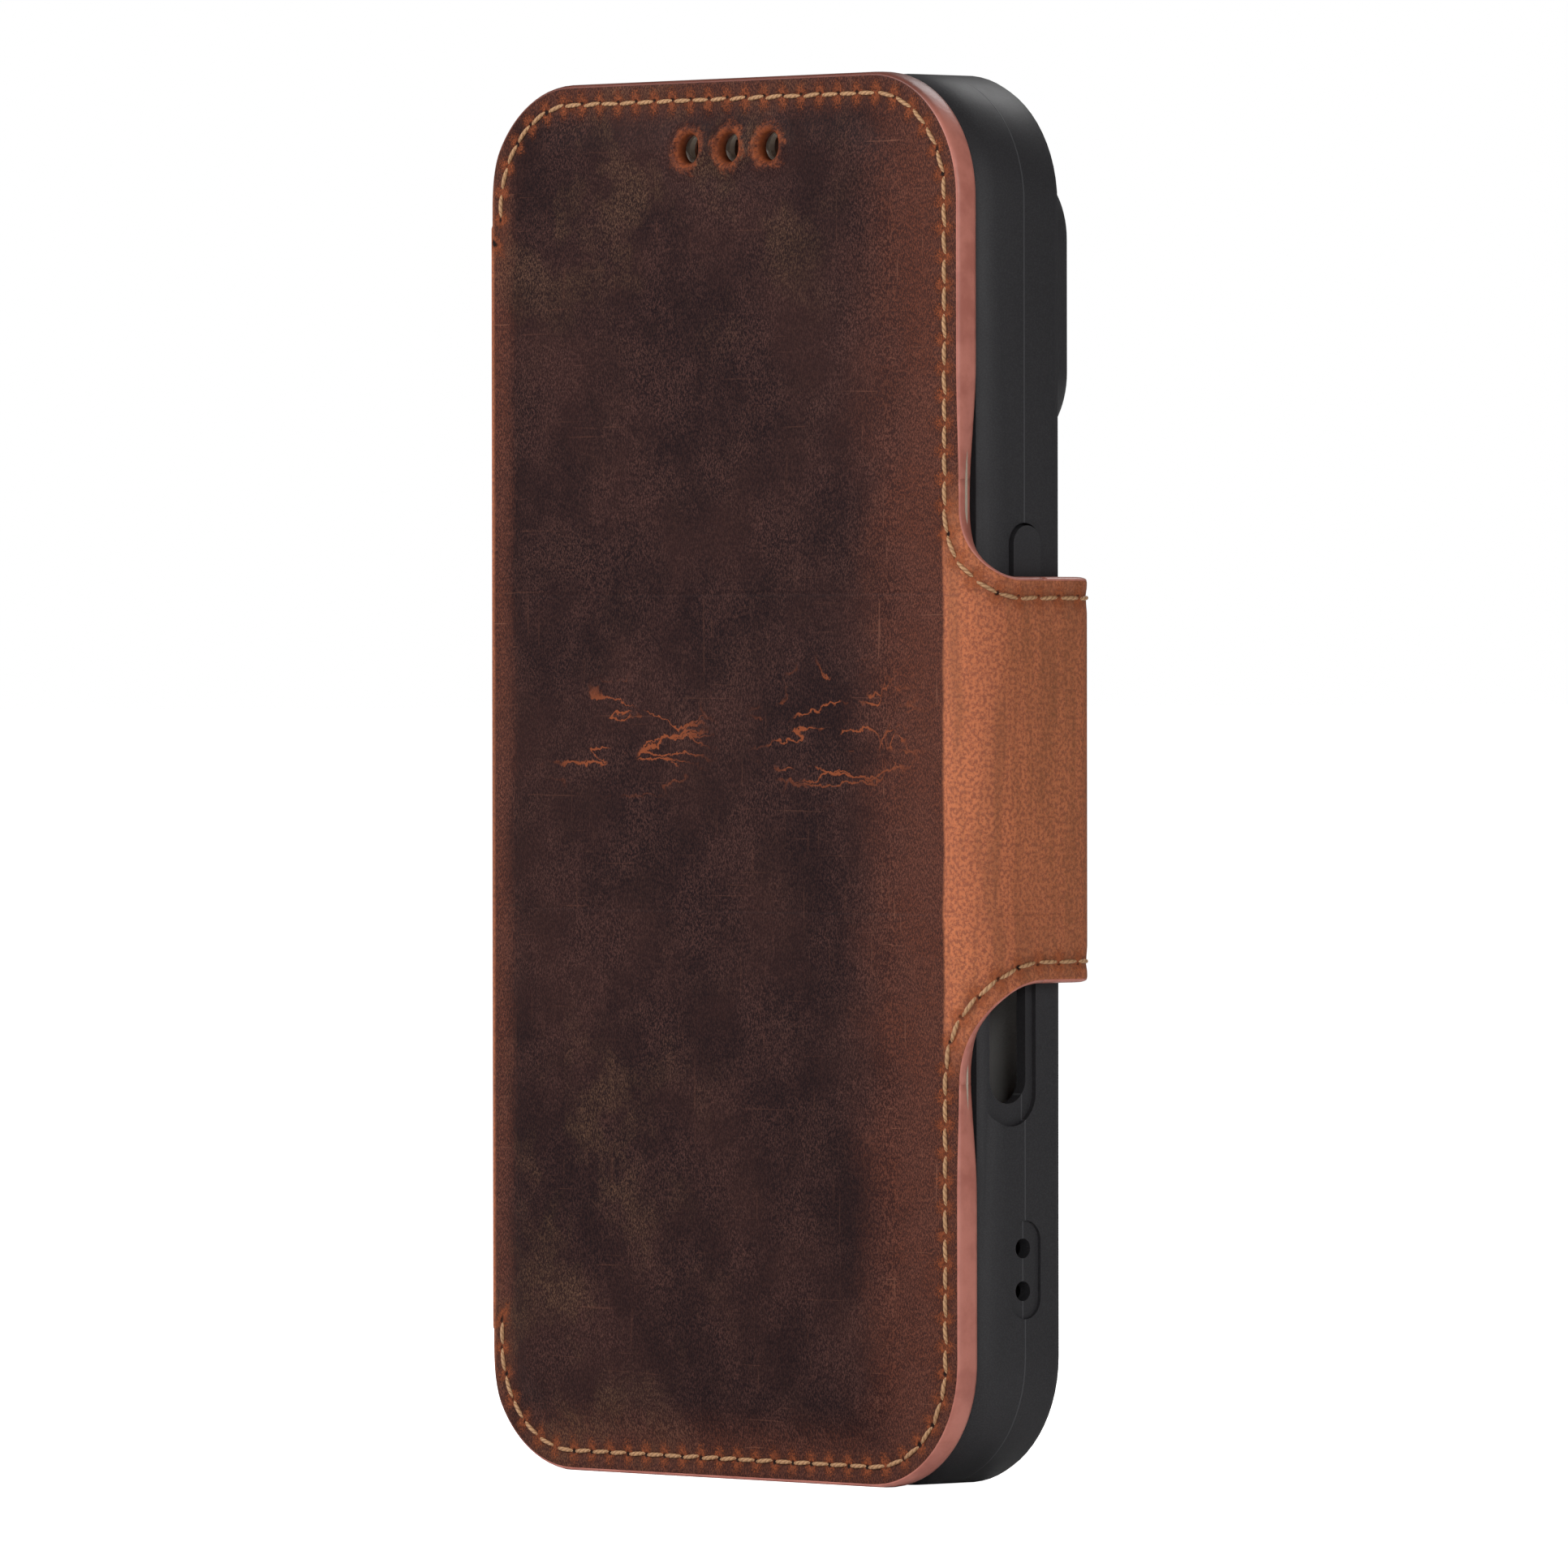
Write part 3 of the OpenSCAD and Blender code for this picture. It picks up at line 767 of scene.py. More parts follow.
@dataclass(frozen=True)
class Thread(Finish):
    """Waxed twisted thread: pale strands with painted shade in the grooves that wind round it."""

    colour: tuple = (0.5, 0.28, 0.14)
    groove_shade: tuple = (0.19, 0.08, 0.032)

    def dress(self, t: Tree, shader: Node) -> None:
        """Wind the strands round the stitch's own length and girth.

        Args:
            t: the writer.
            shader: the material's shader.
        """
        along, turn, lot = t.split(t.attribute("twist"))
        phase = t.plus(t.times(along, 15.0), t.times(turn, 2.0))
        strand = t.math("SINE", phase)
        # Painted shade in the grooves between the strands.
        groove_shade = t.ramp(strand, -0.1, -0.95)
        colour = t.mix(t.times(groove_shade, 0.75), self.colour, self.groove_shade)
        t.put(shader.inputs["Base Color"], t.mix(t.times(lot, 0.4), colour, (0.36, 0.2, 0.1)))
        self.bump(t, shader, strand, 0.5, 0.00008)


# ---------------------------------------------------------------- folding and the pattern


@dataclass
class Fold:
    """The outer surface of folded leather seen from above: straights and round bends in a row.

    Attributes:
        start: where it starts, as x and y in millimetres.
        heading: its first direction, as an angle in radians from +X.
        turn: +1 if the bends turn left, -1 if they turn right.
        runs: straight lengths, with a bend radius between each two.
    """

    start: tuple[float, float]
    heading: float
    turn: int
    runs: list[tuple[str, float]]

    def place(self, length: Array, depth: Array) -> tuple[Array, Array]:
        """Find points along the fold.

        Args:
            length: distances along the outer surface, in millimetres.
            depth: depths inside the outer surface.

        Returns:
            The points' x and y.
        """
        x, y = np.zeros_like(length), np.zeros_like(length)
        px, py, angle, done = *self.start, self.heading, 0.0
        for index, (kind, size) in enumerate(self.runs):
            span = size if kind == "straight" else size * math.pi / 2
            last = index == len(self.runs) - 1
            here = (length >= done) & ((length < done + span) | last)
            go = length[here] - done
            inward = angle + self.turn * math.pi / 2
            if kind == "straight":
                x[here] = px + go * math.cos(angle) + depth[here] * math.cos(inward)
                y[here] = py + go * math.sin(angle) + depth[here] * math.sin(inward)
                px, py = px + size * math.cos(angle), py + size * math.sin(angle)
            else:
                cx, cy = px + size * math.cos(inward), py + size * math.sin(inward)
                swing = inward + math.pi + self.turn * go / size
                x[here] = cx + (size - depth[here]) * np.cos(swing)
                y[here] = cy + (size - depth[here]) * np.sin(swing)
                angle += self.turn * math.pi / 2
                out = angle - self.turn * math.pi / 2
                px, py = cx + size * math.cos(out), cy + size * math.sin(out)
            done += span
        return x, y


def box_distance(s: Array, z: Array, middle: tuple, half: tuple, corner: float) -> Array:
    """Give the distance out of a rectangle with round corners, negative inside.

    Args:
        s: places across.
        z: heights.
        middle: the rectangle's middle.
        half: half its sides.
        corner: its corner radius.

    Returns:
        The distances.
    """
    a = np.abs(s - middle[0]) - half[0] + corner
    b = np.abs(z - middle[1]) - half[1] + corner
    return np.minimum(np.maximum(a, b), 0) + np.hypot(np.maximum(a, 0), np.maximum(b, 0)) - corner


@dataclass
class Pattern:
    """The leather's flat pattern, in millimetres from the shell's middle and from the bottom edge."""

    left: float
    right: float
    height: float
    front_y: float
    spine_x: float
    back_y: float
    strap_x: float
    tab_y: float
    strap_low: float
    strap_high: float
    spine_half: float = 62.7
    corner: float = 14.0
    spine_bend: float = 3.4
    strap_bend: float = 5.4
    tab_bend: float = 4.0
    tab_corner: float = 8.0
    tab_tip: float = 19.9
    fillet_high: float = 7.5
    fillet_low: float = 11.0
    rise: float = 0.8
    seam: float = 2.25
    pitch: float = 3.05
    fold_full: float = 31.0
    fold_fade: float = 46.0

    def __post_init__(self) -> None:
        """Work out the folds and the lengths that follow from them."""
        self.middle = self.height / 2
        self.strap_s = self.strap_x - self.strap_bend
        side = self.tab_y - self.tab_bend - self.front_y - self.strap_bend
        tab = self.strap_x - self.tab_bend - self.tab_tip
        self.side_s = self.strap_s + self.strap_bend * math.pi / 2 + side / 2
        self.strap_end = self.strap_s + (self.strap_bend + self.tab_bend) * math.pi / 2 + side + tab
        self.spine_s = self.spine_x + self.spine_bend
        back = self.back_y - self.front_y - 2 * self.spine_bend
        self.spine_split = self.spine_s - self.spine_bend * math.pi / 2 - back / 2
        self.spine_end = self.spine_s - self.spine_bend * math.pi - back - 1.3
        self.strap_fold = Fold(
            (self.strap_s, self.front_y), 0.0, 1,
            [("bend", self.strap_bend), ("straight", side), ("bend", self.tab_bend), ("straight", tab)],
        )
        self.spine_fold = Fold(
            (self.spine_s, self.front_y), math.pi, -1,
            [("bend", self.spine_bend), ("straight", back), ("bend", self.spine_bend), ("straight", 1.3)],
        )

    def fold(self, s: Array, depth: Array, z: Array) -> Array:
        """Fold flat points round the shell.

        Args:
            s: places across the pattern.
            depth: depths inside the outer surface.
            z: heights.

        Returns:
            The points in millimetres in the shell's frame.
        """
        x, y = s.copy(), self.front_y + depth
        spine = s < self.spine_s
        x[spine], y[spine] = self.spine_fold.place(self.spine_s - s[spine], depth[spine])
        strap = s > self.strap_s
        bent_x, bent_y = self.strap_fold.place(s[strap] - self.strap_s, depth[strap])
        away = np.abs(z[strap] - self.middle)
        share = np.clip((self.fold_fade - away) / (self.fold_fade - self.fold_full), 0, 1)
        share = share * share * (3 - 2 * share)
        x[strap] += share * (bent_x - x[strap])
        y[strap] += share * (bent_y - y[strap])
        return np.stack([x, y, z], axis=1)

    def outline(self, s: Array, z: Array) -> Array:
        """Give each point's distance inside the pattern's outer edge.

        Args:
            s: places across the pattern.
            z: heights.

        Returns:
            The distances.
        """
        panel_middle = ((self.left + self.right) / 2, self.middle)
        panel = box_distance(s, z, panel_middle, ((self.right - self.left) / 2, self.middle), self.corner)
        strap_middle = (self.strap_end - 30.0, (self.strap_low + self.strap_high) / 2)
        strap_half = (30.0, (self.strap_high - self.strap_low) / 2)
        strap = box_distance(s, z, strap_middle, strap_half, self.tab_corner)
        r = np.where(z > self.middle, self.fillet_high, self.fillet_low)
        corner = np.hypot(np.maximum(r - panel, 0), np.maximum(r - strap, 0))
        both = np.maximum(r, np.minimum(panel, strap)) - corner
        spine_middle = (self.spine_end + 15.0, self.middle)
        spine = box_distance(s, z, spine_middle, (15.0, self.spine_half), 0.6)
        return -np.minimum(both, spine)

    def inside(self, s: Array, z: Array) -> Array:
        """Give each point's distance inside the pattern's edges, the ear holes' among them.

        Args:
            s: places across the pattern.
            z: heights.

        Returns:
            The distances.
        """
        distance = self.outline(s, z)
        for outside in EARS.outside(s, z):
            distance = np.minimum(distance, outside)
        return distance

    def swell(self, s: Array, z: Array) -> Array:
        """Give how far the padding lifts the panel.

        Args:
            s: places across.
            z: heights.

        Returns:
            The lifts in millimetres.
        """
        pad = -box_distance(s, z, (-4.0, self.middle), (33.0, self.middle - 3.6), self.corner - 3.6)
        rise = np.clip(pad / 4.2, 0, 1)
        lift = self.rise * 0.86 * rise * rise * (3 - 2 * rise)
        crown = 0.1 * np.cos(np.clip(s / 60, -1, 1) * math.pi / 2) * np.clip(pad / 14, 0, 1)
        wave = 0.045 * np.sin(s * 0.19 + z * 0.043) * np.sin(z * 0.071 - s * 0.05)
        roll = 0.16 * np.exp(-(((s - 25.0) / 2.6) ** 2)) * np.clip(pad / 2, 0, 1)
        ears = np.zeros_like(s)
        for far in EARS.outside(s, z):
            lip = 0.3 * np.exp(-(((far - 0.75) / 0.6) ** 2))
            ears = np.maximum(ears, lip - 0.3 * np.exp(-((far / 0.35) ** 2)))
        return np.minimum(lift + crown + (wave + roll) * rise, self.rise - 0.02) + ears

    def seam_dip(self, inside: Array) -> Array:
        """Give how far the thread pulls the leather down along the seam."""
        return 0.16 * np.exp(-(((inside - self.seam) / 0.75) ** 2))


# ---------------------------------------------------------------- mesh making


def graded(marks: list[tuple[float, float]]) -> Array:
    """Place grid lines between marks.

    Args:
        marks: each place, with the spacing from there to the next.

    Returns:
        The lines' places.
    """
    lines = [marks[0][0]]
    for (a, step), (b, _) in zip(marks, marks[1:]):
        count = max(1, round((b - a) / step))
        lines += list(np.linspace(a, b, count + 1)[1:])
    return np.array(lines)


def to_object(bm: BMesh, name: str, finish: Material, smooth: bool = True) -> Object:
    """Turn a bmesh into a scene object at the origin.

    Args:
        bm: the mesh, in metres; it is freed.
        name: the piece's name.
        finish: its material.
        smooth: shade it smooth.

    Returns:
        The object.
    """
    mesh = bpy.data.meshes.new(name)
    bm.to_mesh(mesh)
    bm.free()
    mesh.materials.append(finish)
    mesh.polygons.foreach_set("use_smooth", [smooth] * len(mesh.polygons))
    piece = bpy.data.objects.new(name, mesh)
    bpy.context.scene.collection.objects.link(piece)
    return piece


class FlatLayer:
    """One layer of the pattern, made flat: a fine grid trimmed to the outline, with rounded edges."""

    def __init__(
        self, pattern: Pattern, s_lines: Array, z_lines: Array, inside: Callable, rings: list[float]
    ) -> None:
        """Trim a grid to the outline and add rings out to its edge.

        Args:
            pattern: the pattern.
            s_lines: grid lines across.
            z_lines: grid lines up.
            inside: a function that gives distances inside the layer's edge.
            rings: distances from the edge, the innermost first.
        """
        self.pattern = pattern
        self.inside = inside
        self.bm = bmesh.new()
        bmesh.ops.create_grid(self.bm, x_segments=len(s_lines) - 1, y_segments=len(z_lines) - 1, size=0.5)
        count_s, count_z = len(s_lines) - 1, len(z_lines) - 1
        for vert in self.bm.verts:
            i, j = round((vert.co.x + 0.5) * count_s), round((vert.co.y + 0.5) * count_z)
            vert.co = (s_lines[i], 0.0, z_lines[j])
        places = np.array([face.calc_center_median()[:] for face in self.bm.faces])
        keep = inside(places[:, 0], places[:, 2]) > rings[0] + 0.12
        doomed = [face for face, kept in zip(self.bm.faces, keep) if not kept]
        bmesh.ops.delete(self.bm, geom=doomed, context="FACES")
        self.tidy_corners()
        self.settle(rings[0])
        self.loops = self.ordered_edges()
        for ring in rings[1:]:
            self.grow(ring)

    def tidy_corners(self) -> None:
        """Drop faces that hang on by one corner or stick out by three sides."""
        for _ in range(3):
            loose = [face for face in self.bm.faces if sum(edge.is_boundary for edge in face.edges) >= 3]
            pinched = [v for v in self.bm.verts if sum(edge.is_boundary for edge in v.link_edges) > 2]
            loose += [face for vert in pinched for face in vert.link_faces[:1]]
            if not loose:
                return
            bmesh.ops.delete(self.bm, geom=list(set(loose)), context="FACES")

    def project(self, verts: list, level: float) -> None:
        """Move points along the slope of the outline's distance to a level.

        Args:
            verts: the points.
            level: the distance inside the edge.
        """
        co = np.array([v.co[:] for v in verts])
        step = 0.02
        for _ in range(5):
            here = self.inside(co[:, 0], co[:, 2])
            s, z = co[:, 0], co[:, 2]
            ds = (self.inside(s + step, z) - self.inside(s - step, z)) / (2 * step)
            dz = (self.inside(s, z + step) - self.inside(s, z - step)) / (2 * step)
            size = np.maximum(ds * ds + dz * dz, 0.25)
            move = np.clip((level - here) / size, -1.2, 1.2)
            co[:, 0] += move * ds
            co[:, 2] += move * dz
        for vert, place in zip(verts, co):
            vert.co = place

    def settle(self, level: float) -> None:
        """Bring the trimmed edge onto a smooth line and ease the rows next to it.

        Args:
            level: the distance inside the edge.
        """
        edge = [v for v in self.bm.verts if v.is_boundary]
        for _ in range(8):
            self.project(edge, level)
            moves = {}
            for vert in edge:
                beside = [e.other_vert(vert).co for e in vert.link_edges if e.is_boundary]
                if len(beside) == 2:
                    moves[vert] = vert.co * 0.4 + (beside[0] + beside[1]) * 0.3
            for vert, place in moves.items():
                vert.co = place
        self.project(edge, level)
        on_edge = set(edge)
        near = {e.other_vert(v) for v in edge for e in v.link_edges} - on_edge
        nearer = {e.other_vert(v) for v in near for e in v.link_edges} - on_edge
        rows = list(near | nearer)
        for _ in range(4):
            bmesh.ops.smooth_vert(
                self.bm, verts=rows, factor=0.5, use_axis_x=True, use_axis_y=True, use_axis_z=True
            )

    def ordered_edges(self) -> list[list[Vector]]:
        """Walk the trimmed edges in order.

        Returns:
            The points of each closed loop, the longest loop first.
        """
        left = {v for v in self.bm.verts if v.is_boundary}
        loops = []
        while left:
            vert = max(left, key=lambda v: (v.co.z, -v.co.x))
            loop = []
            while vert is not None:
                left.discard(vert)
                loop.append(vert.co.copy())
                beside = [e.other_vert(vert) for e in vert.link_edges if e.is_boundary]
                vert = next((v for v in sorted(beside, key=lambda v: -v.co.x) if v in left), None)
            loops.append(loop)
        return sorted(loops, key=len, reverse=True)

    def grow(self, level: float) -> None:
        """Add one ring of faces out to a level.

        Args:
            level: the distance inside the edge.
        """
        edges = [e for e in self.bm.edges if e.is_boundary]
        made = bmesh.ops.extrude_edge_only(self.bm, edges=edges)["geom"]
        self.project([g for g in made if isinstance(g, BMVert)], level)

    def thicken(self, front: object, back: object) -> None:
        """Give the layer its front and back surfaces.

        Args:
            front: a function of place and distance inside the edge that gives the front's depth.
            back: the same for the back.
        """
        original = list(self.bm.faces)
        made = bmesh.ops.extrude_face_region(self.bm, geom=original)["geom"]
        rear = {g for g in made if isinstance(g, BMVert)}
        for verts, depth in ((rear, back), ([v for v in self.bm.verts if v not in rear], front)):
            verts = list(verts)
            co = np.array([v.co[:] for v in verts])
            inner = self.inside(co[:, 0], co[:, 2])
            for vert, value in zip(verts, depth(co[:, 0], co[:, 2], inner)):
                vert.co.y = value
        bmesh.ops.recalc_face_normals(self.bm, faces=list(self.bm.faces))

    def part(self, chosen: object) -> BMesh:
        """Copy out the faces whose middles are chosen.

        Args:
            chosen: a function of a face's middle.

        Returns:
            A new mesh.
        """
        copy = self.bm.copy()
        doomed = [face for face in copy.faces if not chosen(face.calc_center_median())]
        bmesh.ops.delete(copy, geom=doomed, context="FACES")
        return copy


class SeamLine:
    """The line of stitches a set distance inside an edge, with its length measured along it."""

    def __init__(self, layer: FlatLayer, level: float, loops: int = 1) -> None:
        """Follow the layer's edge at a level.

        Args:
            layer: the layer whose edge the seam follows.
            level: the distance inside the edge.
            loops: how many of the longest loops to follow.
        """
        self.points: list[tuple[float, float, float]] = []
        for loop in layer.loops[:loops]:
            self.follow(layer, loop, level)
        self.tree = KDTree(len(self.points))
        for index, (s, z, _) in enumerate(self.points):
            self.tree.insert((s, 0.0, z), index)
        self.tree.balance()

    def follow(self, layer: FlatLayer, loop: list[Vector], level: float) -> None:
        """Resample one loop finely and note the length at each point.

        Args:
            layer: the layer.
            loop: the points of the loop.
            level: the distance inside the edge.
        """
        bm = bmesh.new()
        verts = [bm.verts.new(p) for p in loop]
        layer.project(verts, level)
        line = np.array([v.co[:] for v in verts + verts[:1]])
        bm.free()
        steps = np.hypot(np.diff(line[:, 0]), np.diff(line[:, 2]))
        along = np.concatenate([[0], np.cumsum(steps)])
        pitch = layer.pattern.pitch
        along *= round(along[-1] / pitch) * pitch / along[-1]
        at = np.arange(0, along[-1], 0.2)
        start = math.ceil(self.points[-1][2] / pitch + 20) * pitch if self.points else 0.0
        s, z = np.interp(at, along, line[:, 0]), np.interp(at, along, line[:, 2])
        self.points += list(zip(s, z, at + start))

    def near(self, s: float, z: float) -> tuple[float, float]:
        """Give the length along the seam nearest a point, and the distance to it."""
        _, index, far = self.tree.find((s, 0.0, z))
        return self.points[index][2], far

    def stitches(self, pitch: float) -> list[tuple[float, float, float]]:
        """Place stitches half a pitch between the holes.

        Args:
            pitch: distance between holes.

        Returns:
            Each stitch's place and direction.
        """
        found, mark = [], 0.0
        for (s, z, along), (s2, z2, after) in zip(self.points, self.points[2:]):
            if along < mark - 1e-6 or after - along > 1:
                continue
            found.append((s, z, math.atan2(z2 - z, s2 - s)))
            mark = (math.floor(along / pitch + 1e-6) + 1) * pitch
        return found


@dataclass
class Workshop:
    """What every sub-assembly shares: the pattern, the origin, the finishes and the piece makers."""

    pattern: Pattern
    origin: Vector
    finishes: dict[str, Material]
    strap_half: float = 33.0
    wear_reach: float = 8.0
    made: int = 0

    def world(self, points: Array) -> Array:
        """Move points from the shell's millimetres to the frame's metres."""
        return points * MM + np.array(self.origin)

    def span(self, node: str) -> tuple[Array, Array]:
        """Give a CAD node's lowest and highest corners in the pattern's millimetres."""
        low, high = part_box(node)
        return (np.array(low) - np.array(self.origin)) / MM, (np.array(high) - np.array(self.origin)) / MM

    def place(self, bm: BMesh) -> None:
        """Move a flat part's points to the frame, unfolded."""
        for vert in bm.verts:
            vert.co = self.world(np.array([vert.co[:]]))[0]

    def mark(self, bm: BMesh, seam: SeamLine, side: int = 1) -> None:
        """Note each point's flat place and its place along the seam, for the finishes.

        Args:
            bm: the part.
            seam: the seam whose holes mark it with wear and painted shade.
            side: -1 for a part that is seen from behind.
        """
        flat = bm.verts.layers.float_vector.new("flat")
        line = bm.verts.layers.float_vector.new("seam")
        for vert in bm.verts:
            along, across = seam.near(vert.co.x, vert.co.z)
            vert[flat] = (side * vert.co.x, vert.co.z, vert.co.y)
            vert[line] = (along, across, 0.0)

    def leather(self, bm: BMesh, name: str, finish: str, seam: SeamLine | None = None) -> Object:
        """Fold a flat part, note its flat places, and make it a piece.

        Args:
            bm: the flat part.
            name: the piece's name.
            finish: the finish's key.
            seam: the seam whose holes mark the leather with wear and painted shade, if it has one.

        Returns:
            The piece.
        """
        flat = bm.verts.layers.float_vector.new("flat")
        line = bm.verts.layers.float_vector.new("seam")
        co = np.array([v.co[:] for v in bm.verts])
        inner = self.pattern.outline(co[:, 0], co[:, 2])
        folded = self.world(self.pattern.fold(co[:, 0], co[:, 1], co[:, 2]))
        for vert, old, new, inset in zip(bm.verts, co, folded, inner):
            vert[flat] = (old[0], old[2], old[1])
            along, across = 0.0, self.wear_reach + 1
            if seam and inset < self.wear_reach:
                along, across = seam.near(old[0], old[2])
            if seam and abs(inset - self.pattern.seam) < abs(across):
                across = abs(inset - self.pattern.seam)
            vert[line] = (along, across, 0.0)
            vert.co = new
        return to_object(bm, name, self.finishes[finish])

    def done(self, piece: Object, slot: Slot, *nodes: str) -> None:
        """Hide the CAD nodes that a piece stands for, count the piece and log it.

        Args:
            piece: the finished piece.
            slot: not used.
            nodes: the CAD nodes.
        """
        if nodes:
            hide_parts(*nodes)
        self.made += 1
        log.info("%s: %d faces", piece.name, len(piece.data.polygons))

    def point(self, x: float, y: float) -> tuple[float, float, float]:
        """Give a point at mid height in the frame's metres, for a bend."""
        return tuple(self.world(np.array([[x, y, self.pattern.middle]]))[0])

    def bend(self, piece: Object, region: Region) -> None:
        """Attach a panel piece to the cover's body; for any other region, work out the bend's two end
        points, which are then unused, and bake the piece's transform.

        Args:
            piece: the piece.
            region: the pattern's region that it is cut from.
        """
        p = self.pattern
        if region is Region.PANEL:
            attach(piece, Body.COVER.value)
            return
        front, back = p.front_y, p.back_y
        ends = {
            Region.STRAP_FRONT: ((p.right, front + 0.8), (p.strap_x, front + 9.5)),
            Region.STRAP_BACK: ((p.strap_x - 1.4, p.tab_y - 2.6), (p.strap_x - 3.4, p.tab_y + 0.2)),
            Region.SPINE_FRONT: ((p.left + 0.1, front + 0.6), (p.spine_x, front + 7.0)),
            Region.SPINE_BACK: ((p.spine_x, back - 6.6), (p.spine_s, back)),
        }
        start, end = ends[region]
        self.point(*start)
        self.point(*end)
        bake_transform(piece)

    def region(self, middle: Vector) -> Region:
        """Say which region a place of the pattern is in.

        Args:
            middle: a place in the flat pattern.

        Returns:
            The region.
        """
        p = self.pattern
        if middle.x > p.side_s:
            return Region.STRAP_BACK
        if middle.x > p.strap_s and abs(middle.z - p.middle) < self.strap_half:
            return Region.STRAP_FRONT
        if middle.x < p.spine_split:
            return Region.SPINE_BACK
        if middle.x < p.spine_s and abs(middle.z - p.middle) < p.spine_half:
            return Region.SPINE_FRONT
        return Region.PANEL


# ---------------------------------------------------------------- sub-assemblies


